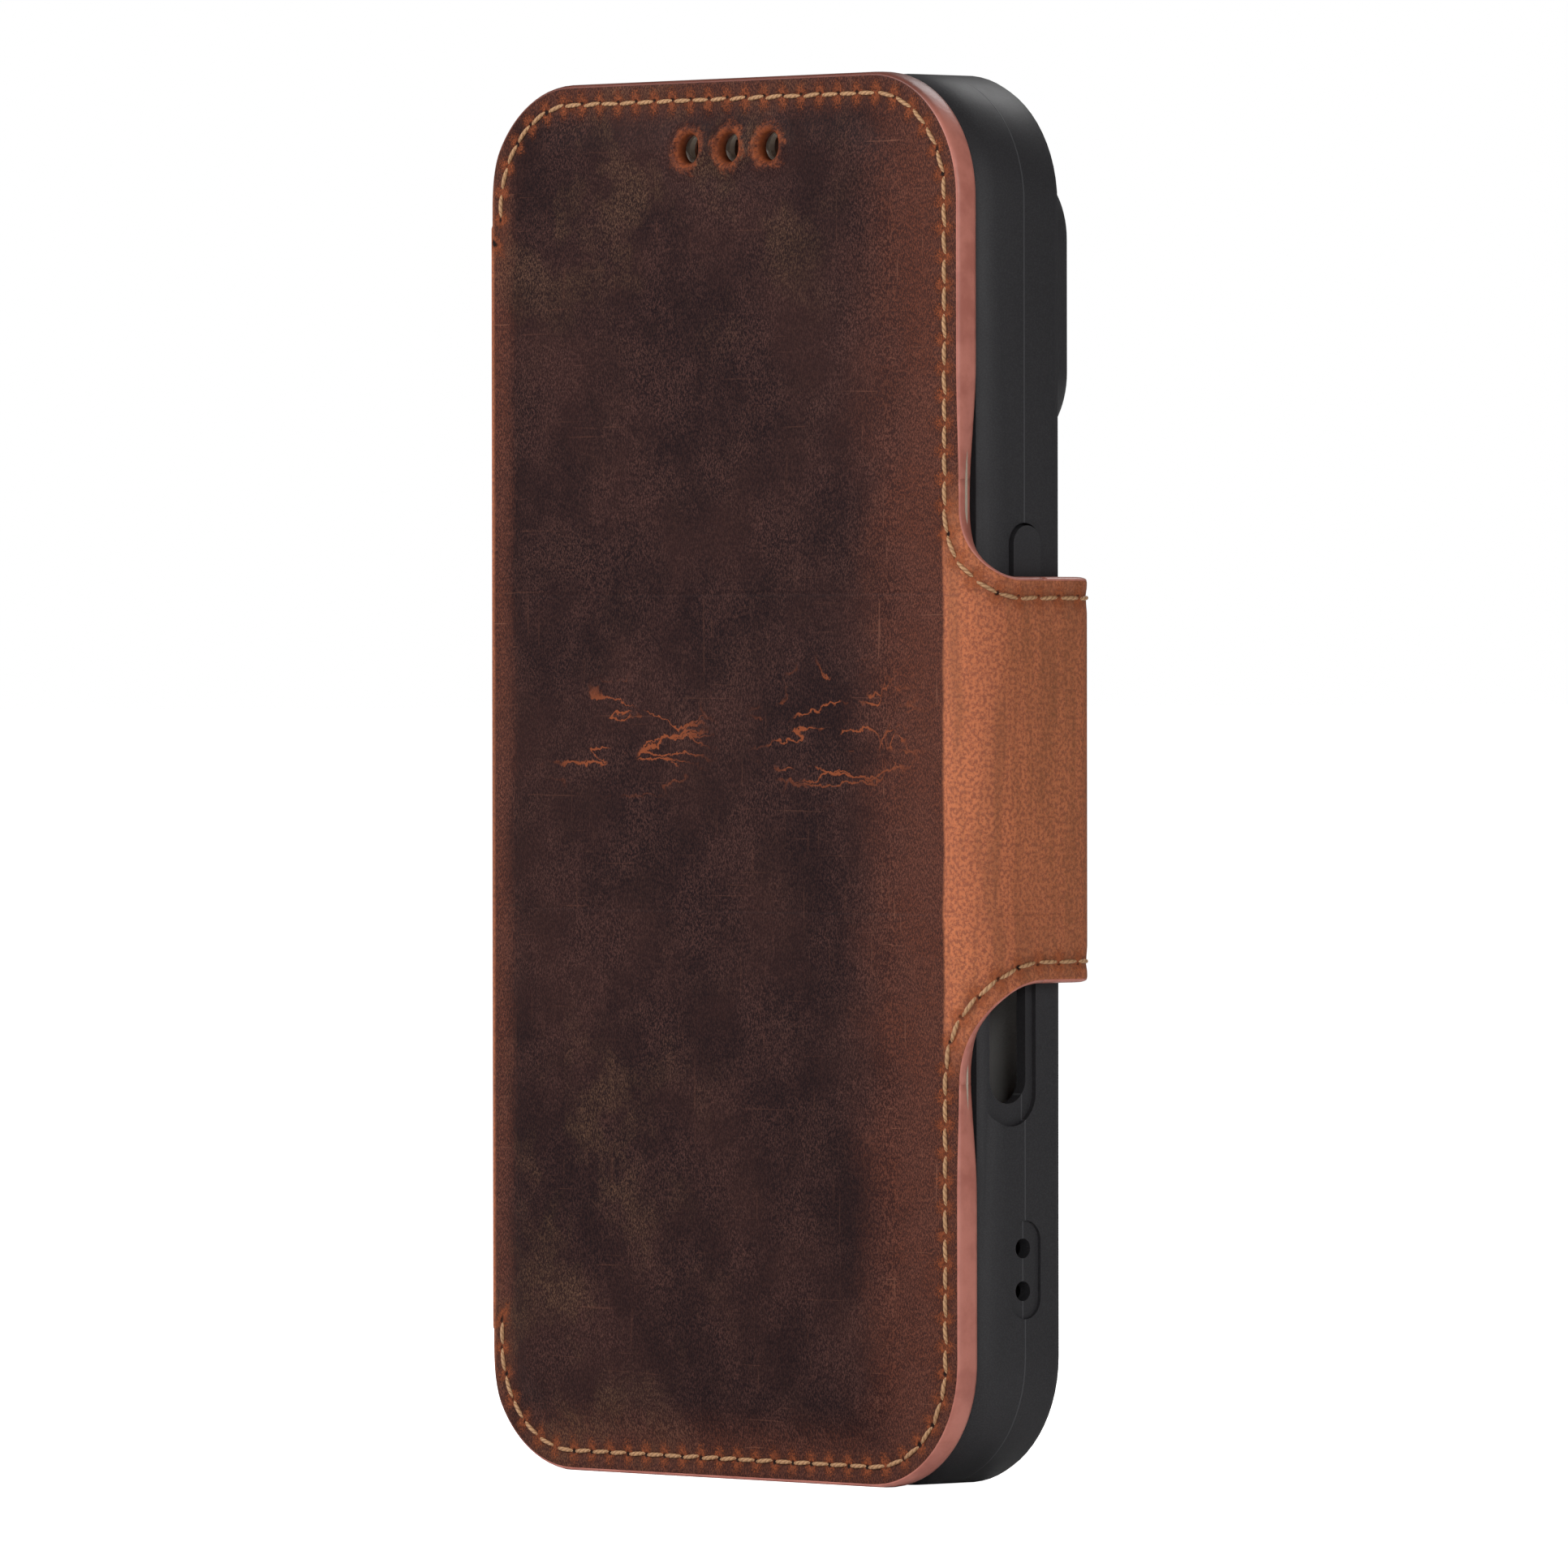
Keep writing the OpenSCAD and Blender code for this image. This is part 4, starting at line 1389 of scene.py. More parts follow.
@dataclass
class Skin:
    """The outer leather with its painted edge, its thread and its soft lining."""

    shop: Workshop
    thickness: float = 1.3
    total: float = 2.9
    strap_total: float = 2.3
    edge_round: float = 0.55
    lining_in: float = 0.45

    def lines(self, fine: float, coarse: float) -> tuple[Array, Array]:
        """Space the grid: fine at the bends and the ear holes, wider elsewhere.

        Args:
            fine: spacing at the bends.
            coarse: spacing elsewhere.

        Returns:
            The lines across and the lines up.
        """
        p = self.shop.pattern
        across = graded([
            (p.spine_end - 1.0, fine), (p.spine_split, fine), (p.spine_s, coarse), (-9.0, min(coarse, 0.6)),
            (11.4, coarse), (p.strap_s, fine), (p.side_s, fine), (62.0, coarse),
            (p.strap_end + 1.0, coarse),
        ])
        up = graded([
            (-1.0, coarse), (p.middle - 33.0, coarse), (p.middle + 33.0, coarse), (144.5, min(coarse, 0.6)),
            (152.0, coarse), (p.height + 1.0, coarse),
        ])
        return across, up

    def total_at(self, s: Array) -> Array:
        """Give the whole thickness of the cover or the strap at each place.

        Args:
            s: places across the pattern.

        Returns:
            The thicknesses.
        """
        p = self.shop.pattern
        share = np.clip((s - p.right) / 3.0, 0, 1) + np.clip((p.left - s) / 3.0, 0, 1)
        return self.total + (self.strap_total - self.total) * np.clip(share, 0, 1)

    def front(self, s: Array, z: Array, inner: Array) -> Array:
        """Give the outer surface's depth: rounded at the edge, dipped at the seam, lifted by the pad.

        Args:
            s: places across the pattern.
            z: heights.
            inner: distances inside the edge.

        Returns:
            The depths.
        """
        p = self.shop.pattern
        edge = np.clip(1 - inner / self.edge_round, 0, 1)
        rounding = self.edge_round * (1 - np.sqrt(np.clip(1 - edge * edge, 0, 1)))
        on_panel = (s < p.strap_s + 1) & (s > p.spine_s - 1)
        lift = np.where(on_panel, p.swell(s, z), 0.0)
        seam = np.where((s < p.spine_s) & (np.abs(z - p.middle) < p.spine_half), 0.0, p.seam_dip(inner))
        return rounding + seam - lift

    def back(self, s: Array, z: Array, inner: Array) -> Array:
        """Give the inner surface's depth: it follows the padding that lifts the panel.

        Args:
            s: places across the pattern.
            z: heights.
            inner: distances inside the edge.

        Returns:
            The depths.
        """
        p = self.shop.pattern
        on_panel = (s < p.strap_s + 1) & (s > p.spine_s - 1)
        return self.thickness - np.where(on_panel, p.swell(s, z), 0.0)

    def build(self) -> None:
        """Make the leather, its edge paint, its foam, its lining and its thread."""
        p, shop = self.shop.pattern, self.shop
        layer = FlatLayer(p, *self.lines(0.75, 1.05), p.inside, [1.15, 0.8, 0.55, 0.36, 0.2, 0.08, 0.0])
        seam = SeamLine(layer, p.seam)
        bare = FlatLayer(p, *self.lines(0.9, 1.3), p.outline, [1.15, 0.5])
        layer.thicken(self.front, self.back)
        nodes = {
            Region.PANEL: "cover_leather",
            Region.STRAP_FRONT: "strap_side_leather",
            Region.STRAP_BACK: "strap_tab_leather",
            Region.SPINE_FRONT: "spine_leather",
            Region.SPINE_BACK: "spine_leather",
        }
        for region in Region:
            part = layer.part(lambda middle, region=region: shop.region(middle) == region)
            piece = shop.leather(part, f"{region.value}_leather", "hide", seam)
            shop.bend(piece, region)
            shop.done(piece, Slot.DARK if region is Region.PANEL else Slot.TAN, nodes[region])
        self.paint(bare)
        self.foam()
        self.lining()
        self.thread(seam)

    def paint(self, bare: FlatLayer) -> None:
        """Sweep the painted edge round the outline.

        Args:
            bare: a layer whose edge is the outline, half a millimetre in.
        """
        shop, p = self.shop, self.shop.pattern
        bm = bare.bm
        bmesh.ops.delete(bm, geom=list(bm.faces), context="FACES_ONLY")
        inner = []
        for edge in bm.edges:
            inset = bare.inside(*np.array([[v.co.x, v.co.z] for v in edge.verts]).T)
            if min(inset) > 0.52 or max(inset) > 0.6:
                inner.append(edge)
        bmesh.ops.delete(bm, geom=inner, context="EDGES")
        loose = [v for v in bm.verts if not v.link_edges]
        bmesh.ops.delete(bm, geom=loose, context="VERTS")
        first = list(bm.edges)
        for vert in bm.verts:
            vert.co.y = 0.0
        profile = [
            (0.55, 0.35), (0.44, 0.12), (0.3, 0.03), (0.16, 0.1), (0.03, 0.32), (-0.07, 0.7),
            (-0.1, -1.2), (-0.06, -0.55), (0.05, -0.15), (0.4, 0.0), (0.85, -0.08),
        ]
        start = list(bm.verts)
        bare.project(start, profile[0][0])
        self.set_depth(start, profile[0][1], False)
        edges = first
        for index, (level, depth) in enumerate(profile[1:]):
            made = bmesh.ops.extrude_edge_only(bm, edges=edges)["geom"]
            verts = [g for g in made if isinstance(g, BMVert)]
            fresh = set(verts)
            edges = [g for g in made if isinstance(g, BMEdge) and all(v in fresh for v in g.verts)]
            bare.project(verts, level)
            self.set_depth(verts, depth, index >= 5)
        bmesh.ops.bridge_loops(bm, edges=first + edges)
        bmesh.ops.recalc_face_normals(bm, faces=list(bm.faces))
        for region in Region:
            part = bare.part(lambda middle, region=region: shop.region(middle) == region)
            if not part.faces:
                part.free()
                continue
            ends = [e for e in part.edges if e.is_boundary]
            bmesh.ops.holes_fill(part, edges=ends, sides=0)
            piece = shop.leather(part, f"{region.value}_edge_paint", "paint")
            shop.bend(piece, region)
            shop.done(piece, Slot.PAINT, *(("cover_edge",) if region is Region.PANEL else ()))

    def foam(self) -> None:
        """Make the foam pad that swells the panel, pierced at the ear holes."""
        shop, p = self.shop, self.shop.pattern
        low, high = shop.span("cover_padding")
        middle = ((low[0] + high[0]) / 2, p.middle)
        half = ((high[0] - low[0]) / 2 - 1.2, (high[2] - low[2]) / 2 - 1.2)

        def inside(s: Array, z: Array) -> Array:
            """Give distances inside the pad's edge and outside the ear holes.

            Args:
                s: places across the pattern.
                z: heights.

            Returns:
                The distances.
            """
            distance = -box_distance(s, z, middle, half, p.corner - 4.8)
            for outside in EARS.outside(s, z):
                distance = np.minimum(distance, outside - 0.1)
            return distance

        def face(s: Array, z: Array, inner: Array) -> Array:
            """Give the pad's face, just under the leather."""
            return np.minimum(self.back(s, z, inner) + 0.02, self.thickness - 0.08)

        layer = FlatLayer(p, *self.lines(1.5, 2.0), inside, [0.9, 0.3, 0.0])
        layer.thicken(face, level_at(self.thickness - 0.02))
        piece = shop.leather(layer.part(lambda middle: True), "cover_foam", "foam")
        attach(piece, Body.COVER.value)
        shop.done(piece, Slot.FOAM, "cover_padding")

    def set_depth(self, verts: list, depth: float, from_back: bool) -> None:
        """Set points' depths from the front, or from the back of the whole thickness.

        Args:
            verts: the points.
            depth: the depth.
            from_back: measure from the back of the whole thickness.
        """
        s = np.array([v.co.x for v in verts])
        for vert, total in zip(verts, self.total_at(s)):
            vert.co.y = depth + (total if from_back else 0.0)

    def lining(self) -> None:
        """Make the soft lining inside the spine and the strap, and the leather lining of the cover."""
        shop, p = self.shop, self.shop.pattern

        def inside(s: Array, z: Array) -> Array:
            """Give distances inside the lining's edge, which is set in from the paint."""
            return p.inside(s, z) - self.lining_in

        layer = FlatLayer(p, *self.lines(1.1, 2.2), inside, [1.2, 0.5, 0.2, 0.0])

        def outer(s: Array, z: Array, inner: Array) -> Array:
            """Give the lining's hidden side."""
            strap = np.full_like(s, self.thickness + 0.1)
            return np.where((s > p.strap_s) | (s < p.spine_s), strap, self.total - 1.0)

        def inner_side(s: Array, z: Array, inner: Array) -> Array:
            """Give the lining's visible side, rounded at its edge."""
            edge = np.clip(1 - inner / 0.5, 0, 1)
            return self.total_at(s) - 0.03 - 0.3 * edge * edge

        layer.thicken(outer, inner_side)
        nodes = {
            Region.PANEL: "cover_lining",
            Region.STRAP_FRONT: "strap_side_lining",
            Region.STRAP_BACK: "strap_tab_lining",
            Region.SPINE_FRONT: "spine_lining",
            Region.SPINE_BACK: "spine_lining",
        }
        for region in Region:
            part = layer.part(lambda middle, region=region: shop.region(middle) == region)
            panel = region is Region.PANEL
            piece = shop.leather(part, f"{region.value}_lining", "inner_hide" if panel else "nap")
            shop.bend(piece, region)
            shop.done(piece, Slot.TAN if panel else Slot.LINING, nodes[region])

    def thread(self, seam: SeamLine) -> None:
        """Lay the stitches along the seam, with none on the spine.

        Args:
            seam: the seam line.
        """
        shop, p = self.shop, self.shop.pattern
        sets: dict[Region, list] = {region: [] for region in Region}
        for s, z, angle in seam.stitches(p.pitch):
            if s < p.spine_s + 2.6 and abs(z - p.middle) < p.spine_half - 1.4:
                continue
            sets[shop.region(Vector((s, 0.0, z)))].append((s, z, angle))
        nodes = {
            Region.PANEL: "cover_stitching",
            Region.STRAP_FRONT: "strap_side_stitching",
            Region.STRAP_BACK: "strap_tab_stitching",
        }
        seeds = {Region.PANEL: 5, Region.STRAP_FRONT: 11, Region.STRAP_BACK: 10}

        def inner_face(s: Array, z: Array, inner: Array) -> Array:
            """Give the lining's visible face."""
            return self.total_at(s) - 0.2

        for facing, face, suffix in ((1, self.front, ""), (-1, inner_face, "_inside")):
            for region, node in nodes.items():
                if facing == -1 and region is Region.STRAP_FRONT:
                    continue
                bm = stitch_row(sets[region], face, p.outline, seeds[region], Stitch(facing=facing))
                co = np.array([v.co[:] for v in bm.verts])
                folded = shop.world(p.fold(co[:, 0], co[:, 1], co[:, 2]))
                for vert, place in zip(bm.verts, folded):
                    vert.co = place
                piece = to_object(bm, f"{region.value}_thread{suffix}", shop.finishes["thread"])
                shop.bend(piece, region)
                shop.done(piece, Slot.THREAD, *((node,) if facing == 1 else ()))


@dataclass(frozen=True)
class Stitch:
    """One kind of stitch: its length, the thread's radius, and its face, 1 outside and -1 inside."""

    length: float = 3.0
    girth: float = 0.255
    facing: int = 1
    lean: float = 0.05
    sides: int = 8
    rings: int = 7


def stitch_row(places: list, front: Callable, outline: Callable, seed: int, stitch: Stitch) -> BMesh:
    """Make stitches as spindles of thread whose ends dive into the leather.

    Args:
        places: each stitch's place and direction.
        front: a function that gives the leather's surface depth.
        outline: a function that gives distances inside the edge.
        seed: the seed of the stitches' small differences.
        stitch: the kind of stitch.

    Returns:
        The stitches in the flat pattern's millimetres.
    """
    bm = bmesh.new()
    twist = bm.verts.layers.float_vector.new("twist")
    chance = random.Random(seed)
    for s, z, angle in places:
        lean = angle + chance.uniform(-0.07, 0.07) + stitch.lean
        lot = chance.random()
        ball = bmesh.ops.create_uvsphere(bm, u_segments=stitch.sides, v_segments=stitch.rings, radius=1.0)
        inner = outline(np.array([s]), np.array([z]))
        surface = float(front(np.array([s]), np.array([z]), inner)[0])
        half = stitch.length / 2 * chance.uniform(0.96, 1.04)
        for vert in ball["verts"]:
            x, y, w = vert.co
            vert[twist] = (w, math.atan2(y, x), lot)
            run = math.copysign(abs(w) ** 0.8, w) * half
            thick = stitch.girth * (1.0 - 0.25 * abs(w) ** 3)
            side, up = x * thick, y * thick
            dive = 0.3 * abs(w) ** 3 - 0.12
            vert.co = (
                s + run * math.cos(lean) - side * math.sin(lean),
                surface + stitch.facing * (dive - up),
                z + run * math.sin(lean) + side * math.cos(lean),
            )
    bmesh.ops.recalc_face_normals(bm, faces=list(bm.faces))
    return bm


def level_at(depth: float) -> Callable:
    """Give a flat surface's depth function."""
    return lambda s, z, inner: np.full_like(s, depth)


@dataclass
class Panel:
    """A flat panel with rounded edges, in the plane of the cover or of the back."""

    middle: tuple[float, float]
    size: tuple[float, float]
    corner: float
    cell: float = 2.0
    edge: float = 0.4

    def inside(self, s: Array, z: Array) -> Array:
        """Give distances inside the panel's edge."""
        return -box_distance(s, z, self.middle, (self.size[0] / 2, self.size[1] / 2), self.corner)

    def layer(self, pattern: Pattern, inside: Callable | None = None) -> FlatLayer:
        """Make the trimmed grid.

        Args:
            pattern: the pattern that the layer belongs to.
            inside: another distance function, where the panel has a cut-out.

        Returns:
            The flat layer.
        """
        half_s, half_z = self.size[0] / 2 + 1, self.size[1] / 2 + 1
        s_lines = graded([(self.middle[0] - half_s, self.cell), (self.middle[0] + half_s, self.cell)])
        z_lines = graded([(self.middle[1] - half_z, self.cell), (self.middle[1] + half_z, self.cell)])
        rings = [self.edge + 0.6, self.edge, self.edge / 2, self.edge / 6, 0.0]
        return FlatLayer(pattern, s_lines, z_lines, inside or self.inside, rings)


@dataclass
class CardPockets:
    """The note pocket and the stepped card pockets on the inside of the cover."""

    shop: Workshop
    names: tuple[str, ...] = ("note_pocket", "card_pocket_3", "card_pocket_2", "card_pocket_1")
    corner: float = 2.5
    edge: float = 0.22
    seam_in: float = 1.6
    crease_in: float = 2.2
    crease_wide: float = 0.35
    crease_deep: float = 0.09
    drop: float = 0.2
    seed: int = 5
    stitch: Stitch = Stitch(length=2.6, girth=0.17, facing=-1)

    def face(self, deep: float, mouth: float) -> Callable:
        """Make the depth function of a pocket's visible face.

        Args:
            deep: the face's depth.
            mouth: where the pocket's mouth is, across.

        Returns:
            The depth function, with an edge crease near the mouth.
        """

        def show(s: Array, z: Array, inner: Array) -> Array:
            """Give the face's depth.

            Args:
                s: places across the pattern.
                z: heights.
                inner: distances inside the edge.

            Returns:
                The depths.
            """
            edge = np.clip(1 - inner / self.edge, 0, 1)
            far = (mouth - s - self.crease_in) / self.crease_wide
            return deep - self.drop * edge * edge - self.crease_deep * np.exp(-(far**2))

        return show

    def build(self) -> None:
        """Make each pocket in the space of its CAD node."""
        shop, p = self.shop, self.shop.pattern
        for name in self.names:
            low, high = shop.span(name)
            middle = ((low[0] + high[0]) / 2, (low[2] + high[2]) / 2)
            panel = Panel(middle, (high[0] - low[0], high[2] - low[2]), self.corner, edge=self.edge)
            layer = panel.layer(p)

            layer.thicken(level_at(low[1]), self.face(high[1], high[0]))
            seam = SeamLine(layer, self.seam_in)
            bm = layer.part(lambda middle: True)
            shop.mark(bm, seam)
            shop.place(bm)
            places = seam.stitches(p.pitch)
            rows = stitch_row(places, level_at(high[1]), panel.inside, self.seed, self.stitch)
            shop.place(rows)
            thread = to_object(rows, f"{name}_thread", shop.finishes["thread"])
            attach(thread, Body.COVER.value)
            shop.done(thread, Slot.THREAD)
            note = name == "note_pocket"
            piece = to_object(bm, f"{name}_leather", shop.finishes["inner_hide" if note else "pocket_hide"])
            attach(piece, Body.COVER.value)
            shop.done(piece, Slot.TAN if note else Slot.DARK, name)


@dataclass
class BackSkin:
    """The leather and the thread on the shell's back."""

    shop: Workshop
    seam_in: float = 2.2
    corner: float = 12.8
    rim_corner: float = 9.0
    seed: int = 3

    def build(self) -> None:
        """Make the back leather round the camera rim, and its stitches."""
        shop, p = self.shop, self.shop.pattern
        low, high = shop.span("back_leather")
        rim_low, rim_high = shop.span("camera_rim")
        half_w, half_h = high[0], (high[2] - low[2]) / 2
        rim_middle = ((rim_low[0] + rim_high[0]) / 2, (rim_low[2] + rim_high[2]) / 2)
        rim_half = ((rim_high[0] - rim_low[0]) / 2 + 0.1, (rim_high[2] - rim_low[2]) / 2 + 0.1)

        def inside(s: Array, z: Array) -> Array:
            """Give distances inside the leather, which has a flap to the spine and a camera window.

            Args:
                s: places across the pattern.
                z: heights.

            Returns:
                The distances.
            """
            body = box_distance(s, z, (0.0, p.middle), (half_w, half_h), self.corner)
            flap = box_distance(s, z, (-30.0, p.middle), (-p.spine_s - 30.0, p.spine_half), 0.5)
            rim = box_distance(s, z, rim_middle, rim_half, self.rim_corner)
            return np.minimum(-np.minimum(body, flap), rim)

        panel = Panel((0.0, p.middle), (2 * half_w + 6, 2 * half_h), self.corner, cell=1.3)
        layer = panel.layer(p, inside)
        seam = SeamLine(layer, self.seam_in, loops=2)

        def face(s: Array, z: Array, inner: Array) -> Array:
            """Give the outer face, rounded at its edge and dipped at the seam."""
            edge = np.clip(1 - inner / 0.4, 0, 1)
            return high[1] - 0.3 * edge * edge - 0.1 * np.exp(-(((inner - self.seam_in) / 0.7) ** 2))

        rows = seam.stitches(p.pitch)
        layer.thicken(face, level_at(low[1] + 0.05))
        bm = layer.part(lambda middle: True)
        shop.mark(bm, seam, side=-1)
        shop.place(bm)
        piece = to_object(bm, "back_leather_skin", shop.finishes["back_hide"])
        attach(piece, Body.SHELL.value)
        shop.done(piece, Slot.DARK, "back_leather")
        thread = stitch_row(rows, level_at(high[1] - 0.1), inside, self.seed, Stitch(facing=-1))
        shop.place(thread)
        row = to_object(thread, "back_thread", shop.finishes["thread"])
        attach(row, Body.SHELL.value)
        shop.done(row, Slot.THREAD, "back_stitching")


@dataclass
class TrayLining:
    """The thin microfibre glued to the inside of the shell's back, with a window for the camera."""

    shop: Workshop
    corner: float = 12.3
    window_in: float = 3.5
    window_spare: float = 0.65
    window_corner: float = 6.5

    def build(self) -> None:
        shop, p = self.shop, self.shop.pattern
        low, high = shop.span("shell_lining")
        rim_low, rim_high = shop.span("camera_rim")
        middle = ((low[0] + high[0]) / 2, (low[2] + high[2]) / 2)
        size = (high[0] - low[0], high[2] - low[2])
        window = ((rim_low[0] + rim_high[0]) / 2, (rim_low[2] + rim_high[2]) / 2)
        half = (
            (rim_high[0] - rim_low[0]) / 2 - self.window_in,
            (rim_high[2] - rim_low[2]) / 2 - self.window_in + self.window_spare,
        )

        def inside(s: Array, z: Array) -> Array:
            """Give distances inside the lining's edge and outside the window."""
            sheet = -box_distance(s, z, middle, (size[0] / 2, size[1] / 2), self.corner)
            return np.minimum(sheet, box_distance(s, z, window, half, self.window_corner))

        layer = Panel(middle, size, self.corner).layer(p, inside)
        layer.thicken(level_at(low[1]), level_at(high[1] - 0.02))
        bm = layer.part(lambda middle: True)
        area = sum(face.calc_area() for face in bm.faces if face.normal.y < -0.9) * MM * MM
        shop.place(bm)
        piece = to_object(bm, "tray_microfibre", shop.finishes["nap"])
        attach(piece, Body.SHELL.value)
        shop.done(piece, Slot.LINING, "shell_lining")


@dataclass
class Mouldings:
    """The moulded shell, the camera rim and the keys, smoothed, and the finishes of the hidden parts."""

    shop: Workshop
    crease: float = math.radians(28)

    def build(self) -> None:
        """Smooth a copy of each moulding and dress the nodes that stay."""
        shop = self.shop
        keys = ("power_button", "volume_up_button", "volume_down_button", "action_button")
        for node in ("shell", "camera_rim", *keys):
            bm = bmesh.new()
            bm.from_mesh(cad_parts[node].data)
            bmesh.ops.remove_doubles(bm, verts=list(bm.verts), dist=2e-6)
            bm.normal_update()
            for edge in bm.edges:
                edge.smooth = edge.calc_face_angle(0.0) <= self.crease
            piece = to_object(bm, f"{node}_moulding", shop.finishes["shell" if node == "shell" else "keys"])
            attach(piece, node if node in keys else Body.SHELL.value)
            shop.done(piece, Slot.SHELL, node)
        stays = {"cover_board": "board"}
        stays |= dict.fromkeys(("magnet_ring", "closure_plate", "strap_magnets"), "metal")
        for node, finish in stays.items():
            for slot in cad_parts[node].material_slots:
                slot.material = shop.finishes[finish]


@dataclass
class Studio:
    """The pale floor, the soft lights and the camera."""

    yaw: float = 47.55
    rise: float = 0.39
    distance: float = 1.693
    height: float = 0.078
    sensor: float = 36.0
    focal: float = 347.6
    roll: float = -0.075
    shift_y: float = -0.00346
    room_light: float = 0.07
    floor_glow: float = 1.0

    def build(self) -> None:
        """Make the whole stage."""
        self.floor()
        self.lights()
        self.camera()

    def floor(self) -> None:
        """Lay a wide pale floor under the case."""
        bm = bmesh.new()
        bmesh.ops.create_grid(bm, x_segments=1, y_segments=1, size=30.0)
        material = bpy.data.materials.new("pale_floor")
        material.use_nodes = True
        shader = material.node_tree.nodes["Principled BSDF"]
        shader.inputs["Base Color"].default_value = (0.93, 0.93, 0.93, 1.0)
        shader.inputs["Roughness"].default_value = 0.9
        shader.inputs["Specular IOR Level"].default_value = 0.1
        shader.inputs["Emission Color"].default_value = (1.0, 1.0, 1.0, 1.0)
        t = Tree(material.node_tree)
        glow = t.times(t.add("ShaderNodeLightPath").outputs["Is Camera Ray"], self.floor_glow)
        t.put(shader.inputs["Emission Strength"], glow)
        to_object(bm, "floor", material, smooth=False)

    def lights(self) -> None:
        """Hang soft boxes to the left, the right, above and behind, in a white room."""
        world = bpy.data.worlds.new("white_room")
        world.use_nodes = True
        t = Tree(world.node_tree)
        seen = t.add("ShaderNodeBackground", Color=(1.0, 1.0, 1.0), Strength=1.0)
        room = t.add("ShaderNodeBackground", Color=(1.0, 0.985, 0.97), Strength=self.room_light)
        both = t.add("ShaderNodeMixShader", Fac=t.add("ShaderNodeLightPath").outputs["Is Camera Ray"])
        t.put(both.inputs[1], room.outputs[0])
        t.put(both.inputs[2], seen.outputs[0])
        t.put(world.node_tree.nodes["World Output"].inputs["Surface"], both.outputs[0])
        bpy.context.scene.world = world
        bpy.context.scene.view_settings.view_transform = "Standard"
        for name, place, size, power in (
            ("key_left", (-0.55, -1.1, 0.7), 0.7, 14.5),
            ("fill_right", (1.25, -0.5, 0.45), 0.55, 8.5),
            ("top", (0.1, -0.5, 1.3), 0.9, 1.8),
            ("back", (-0.35, 1.0, 1.2), 0.7, 7.5),
        ):
            lamp = bpy.data.lights.new(name, "AREA")
            lamp.shape = "DISK"
            lamp.size = size
            lamp.energy = power
            light = bpy.data.objects.new(name, lamp)
            aim = Vector((0.0, 0.0, 0.08)) - Vector(place)
            turn = aim.to_track_quat("-Z", "Y").to_matrix().to_4x4()
            light.matrix_world = Matrix.Translation(place) @ turn
            bpy.context.scene.collection.objects.link(light)

    def camera(self) -> None:
        """Set the long lens that looks at the case's right front corner from mid height."""
        lens = bpy.data.cameras.new("camera")
        lens.sensor_width = self.sensor
        lens.lens = self.focal
        lens.shift_y = self.shift_y
        lens.clip_end = 100.0
        camera = bpy.data.objects.new("camera", lens)
        yaw, rise = math.radians(self.yaw), math.radians(self.rise)
        away = Vector((math.sin(yaw) * math.cos(rise), -math.cos(yaw) * math.cos(rise), math.sin(rise)))
        place = Vector((0.0, 0.0, self.height)) + away * self.distance
        turn = (-away).to_track_quat("-Z", "Y").to_matrix().to_4x4()
        roll = Matrix.Rotation(math.radians(self.roll), 4, "Z")
        camera.matrix_world = Matrix.Translation(place) @ turn @ roll
        bpy.context.scene.collection.objects.link(camera)
        bpy.context.scene.camera = camera


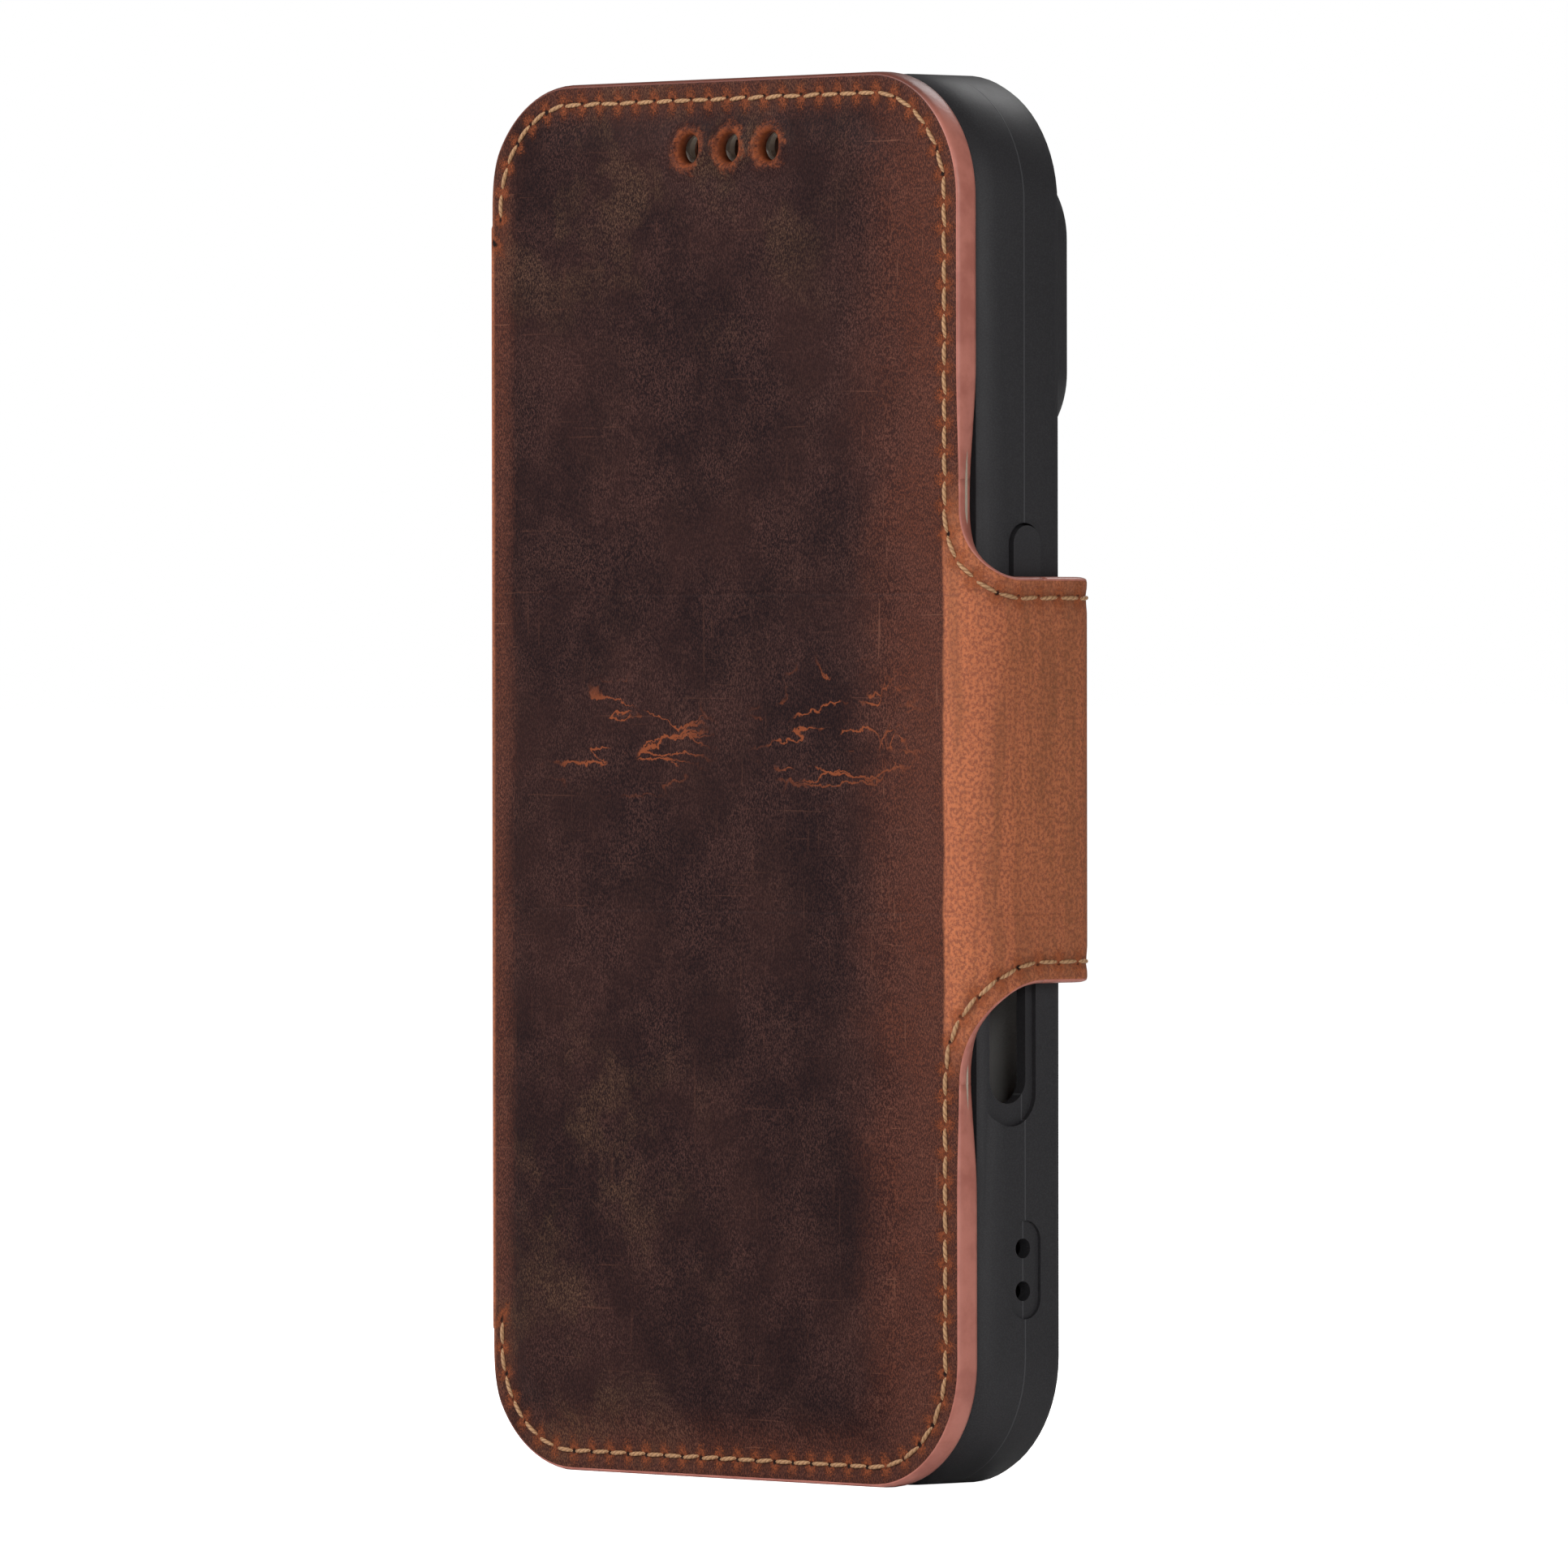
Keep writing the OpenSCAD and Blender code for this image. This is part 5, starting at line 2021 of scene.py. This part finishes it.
def make_finishes(pitch: float, line_y: float) -> dict[str, Material]:
    """Build every finish once.

    Args:
        pitch: the stitches' pitch.
        line_y: where the shell's parting line runs.

    Returns:
        The materials by key.
    """
    groups = {"hide_grain": hide_grain(), "stitch_wear_and_shade": stitch_wear_and_shade(pitch), "crack_lines": crack_lines()}
    inner = Hide("inner_hide", 0.6, 0.2, groups=groups, worn=False, all_tan=0.8, tan=(0.34, 0.115, 0.055))
    return {
        "hide": Hide("pull_up_hide", 0.58, 0.08, groups=groups).build(),
        "back_hide": Hide("back_hide", 0.56, 0.22, groups=groups, worn=False).build(),
        "inner_hide": inner.build(),
        "pocket_hide": Hide("pocket_hide", 0.56, 0.22, groups=groups, worn=False, all_tan=0.12).build(),
        "paint": Paint("edge_paint", 0.42, 0.35).build(),
        "shell": Moulding("black_moulding", 0.52, 0.22, line_y=line_y).build(),
        "keys": Moulding("black_keys", 0.5, 0.3).build(),
        "nap": Nap("grey_microfibre", 0.85, 0.25).build(),
        "foam": Nap("grey_foam", 0.9, 0.2, colour=(0.82, 0.74, 0.66), shade=(0.4, 0.33, 0.28)).build(),
        "board": Nap("pressed_board", 0.9, 0.2, colour=(0.5, 0.42, 0.34), shade=(0.26, 0.2, 0.15)).build(),
        "metal": Metal("plated_steel", 0.32, 0.5).build(),
        "thread": Thread("waxed_thread", 0.55, 0.35).build(),
    }


def make_pattern(origin: Vector) -> Pattern:
    """Read the pattern's driving sizes from the frame.

    Args:
        origin: the shell's middle, the panel's front and the bottom edge.

    Returns:
        The pattern.
    """

    def span(node: str) -> tuple[Array, Array]:
        """Give a node's corners in millimetres from the origin."""
        return tuple((np.array(corner) - np.array(origin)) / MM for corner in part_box(node))

    edge_low, edge_high = span("cover_edge")
    spine_low, _ = span("spine_leather")
    side_low, side_high = span("strap_side_leather")
    _, tab_high = span("strap_tab_leather")
    _, back_high = span("back_leather")
    leather_low, _ = span("cover_leather")
    return Pattern(
        left=edge_low[0], right=edge_high[0], height=edge_high[2],
        front_y=edge_low[1] - 0.15 - leather_low[1],
        spine_x=spine_low[0], back_y=back_high[1], strap_x=side_high[0], tab_y=tab_high[1],
        strap_low=side_low[2], strap_high=side_high[2],
    )


def main() -> None:
    """Build the case in order and report each piece."""
    logging.basicConfig(level=logging.INFO, format="%(name)s %(message)s")
    shell_low, shell_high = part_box("shell")
    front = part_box("cover_leather")[0][1]
    origin = Vector(((shell_low[0] + shell_high[0]) / 2, front, 0.0))
    pattern = make_pattern(origin)
    key_low, key_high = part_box("power_button")
    finishes = make_finishes(pattern.pitch, (key_low[1] + key_high[1]) / 2)
    shop = Workshop(pattern, origin, finishes)
    Skin(shop).build()
    CardPockets(shop).build()
    BackSkin(shop).build()
    TrayLining(shop).build()
    Mouldings(shop).build()
    Studio().build()
    log.info("%d pieces made", shop.made)


if __name__ == "__main__":
    main()
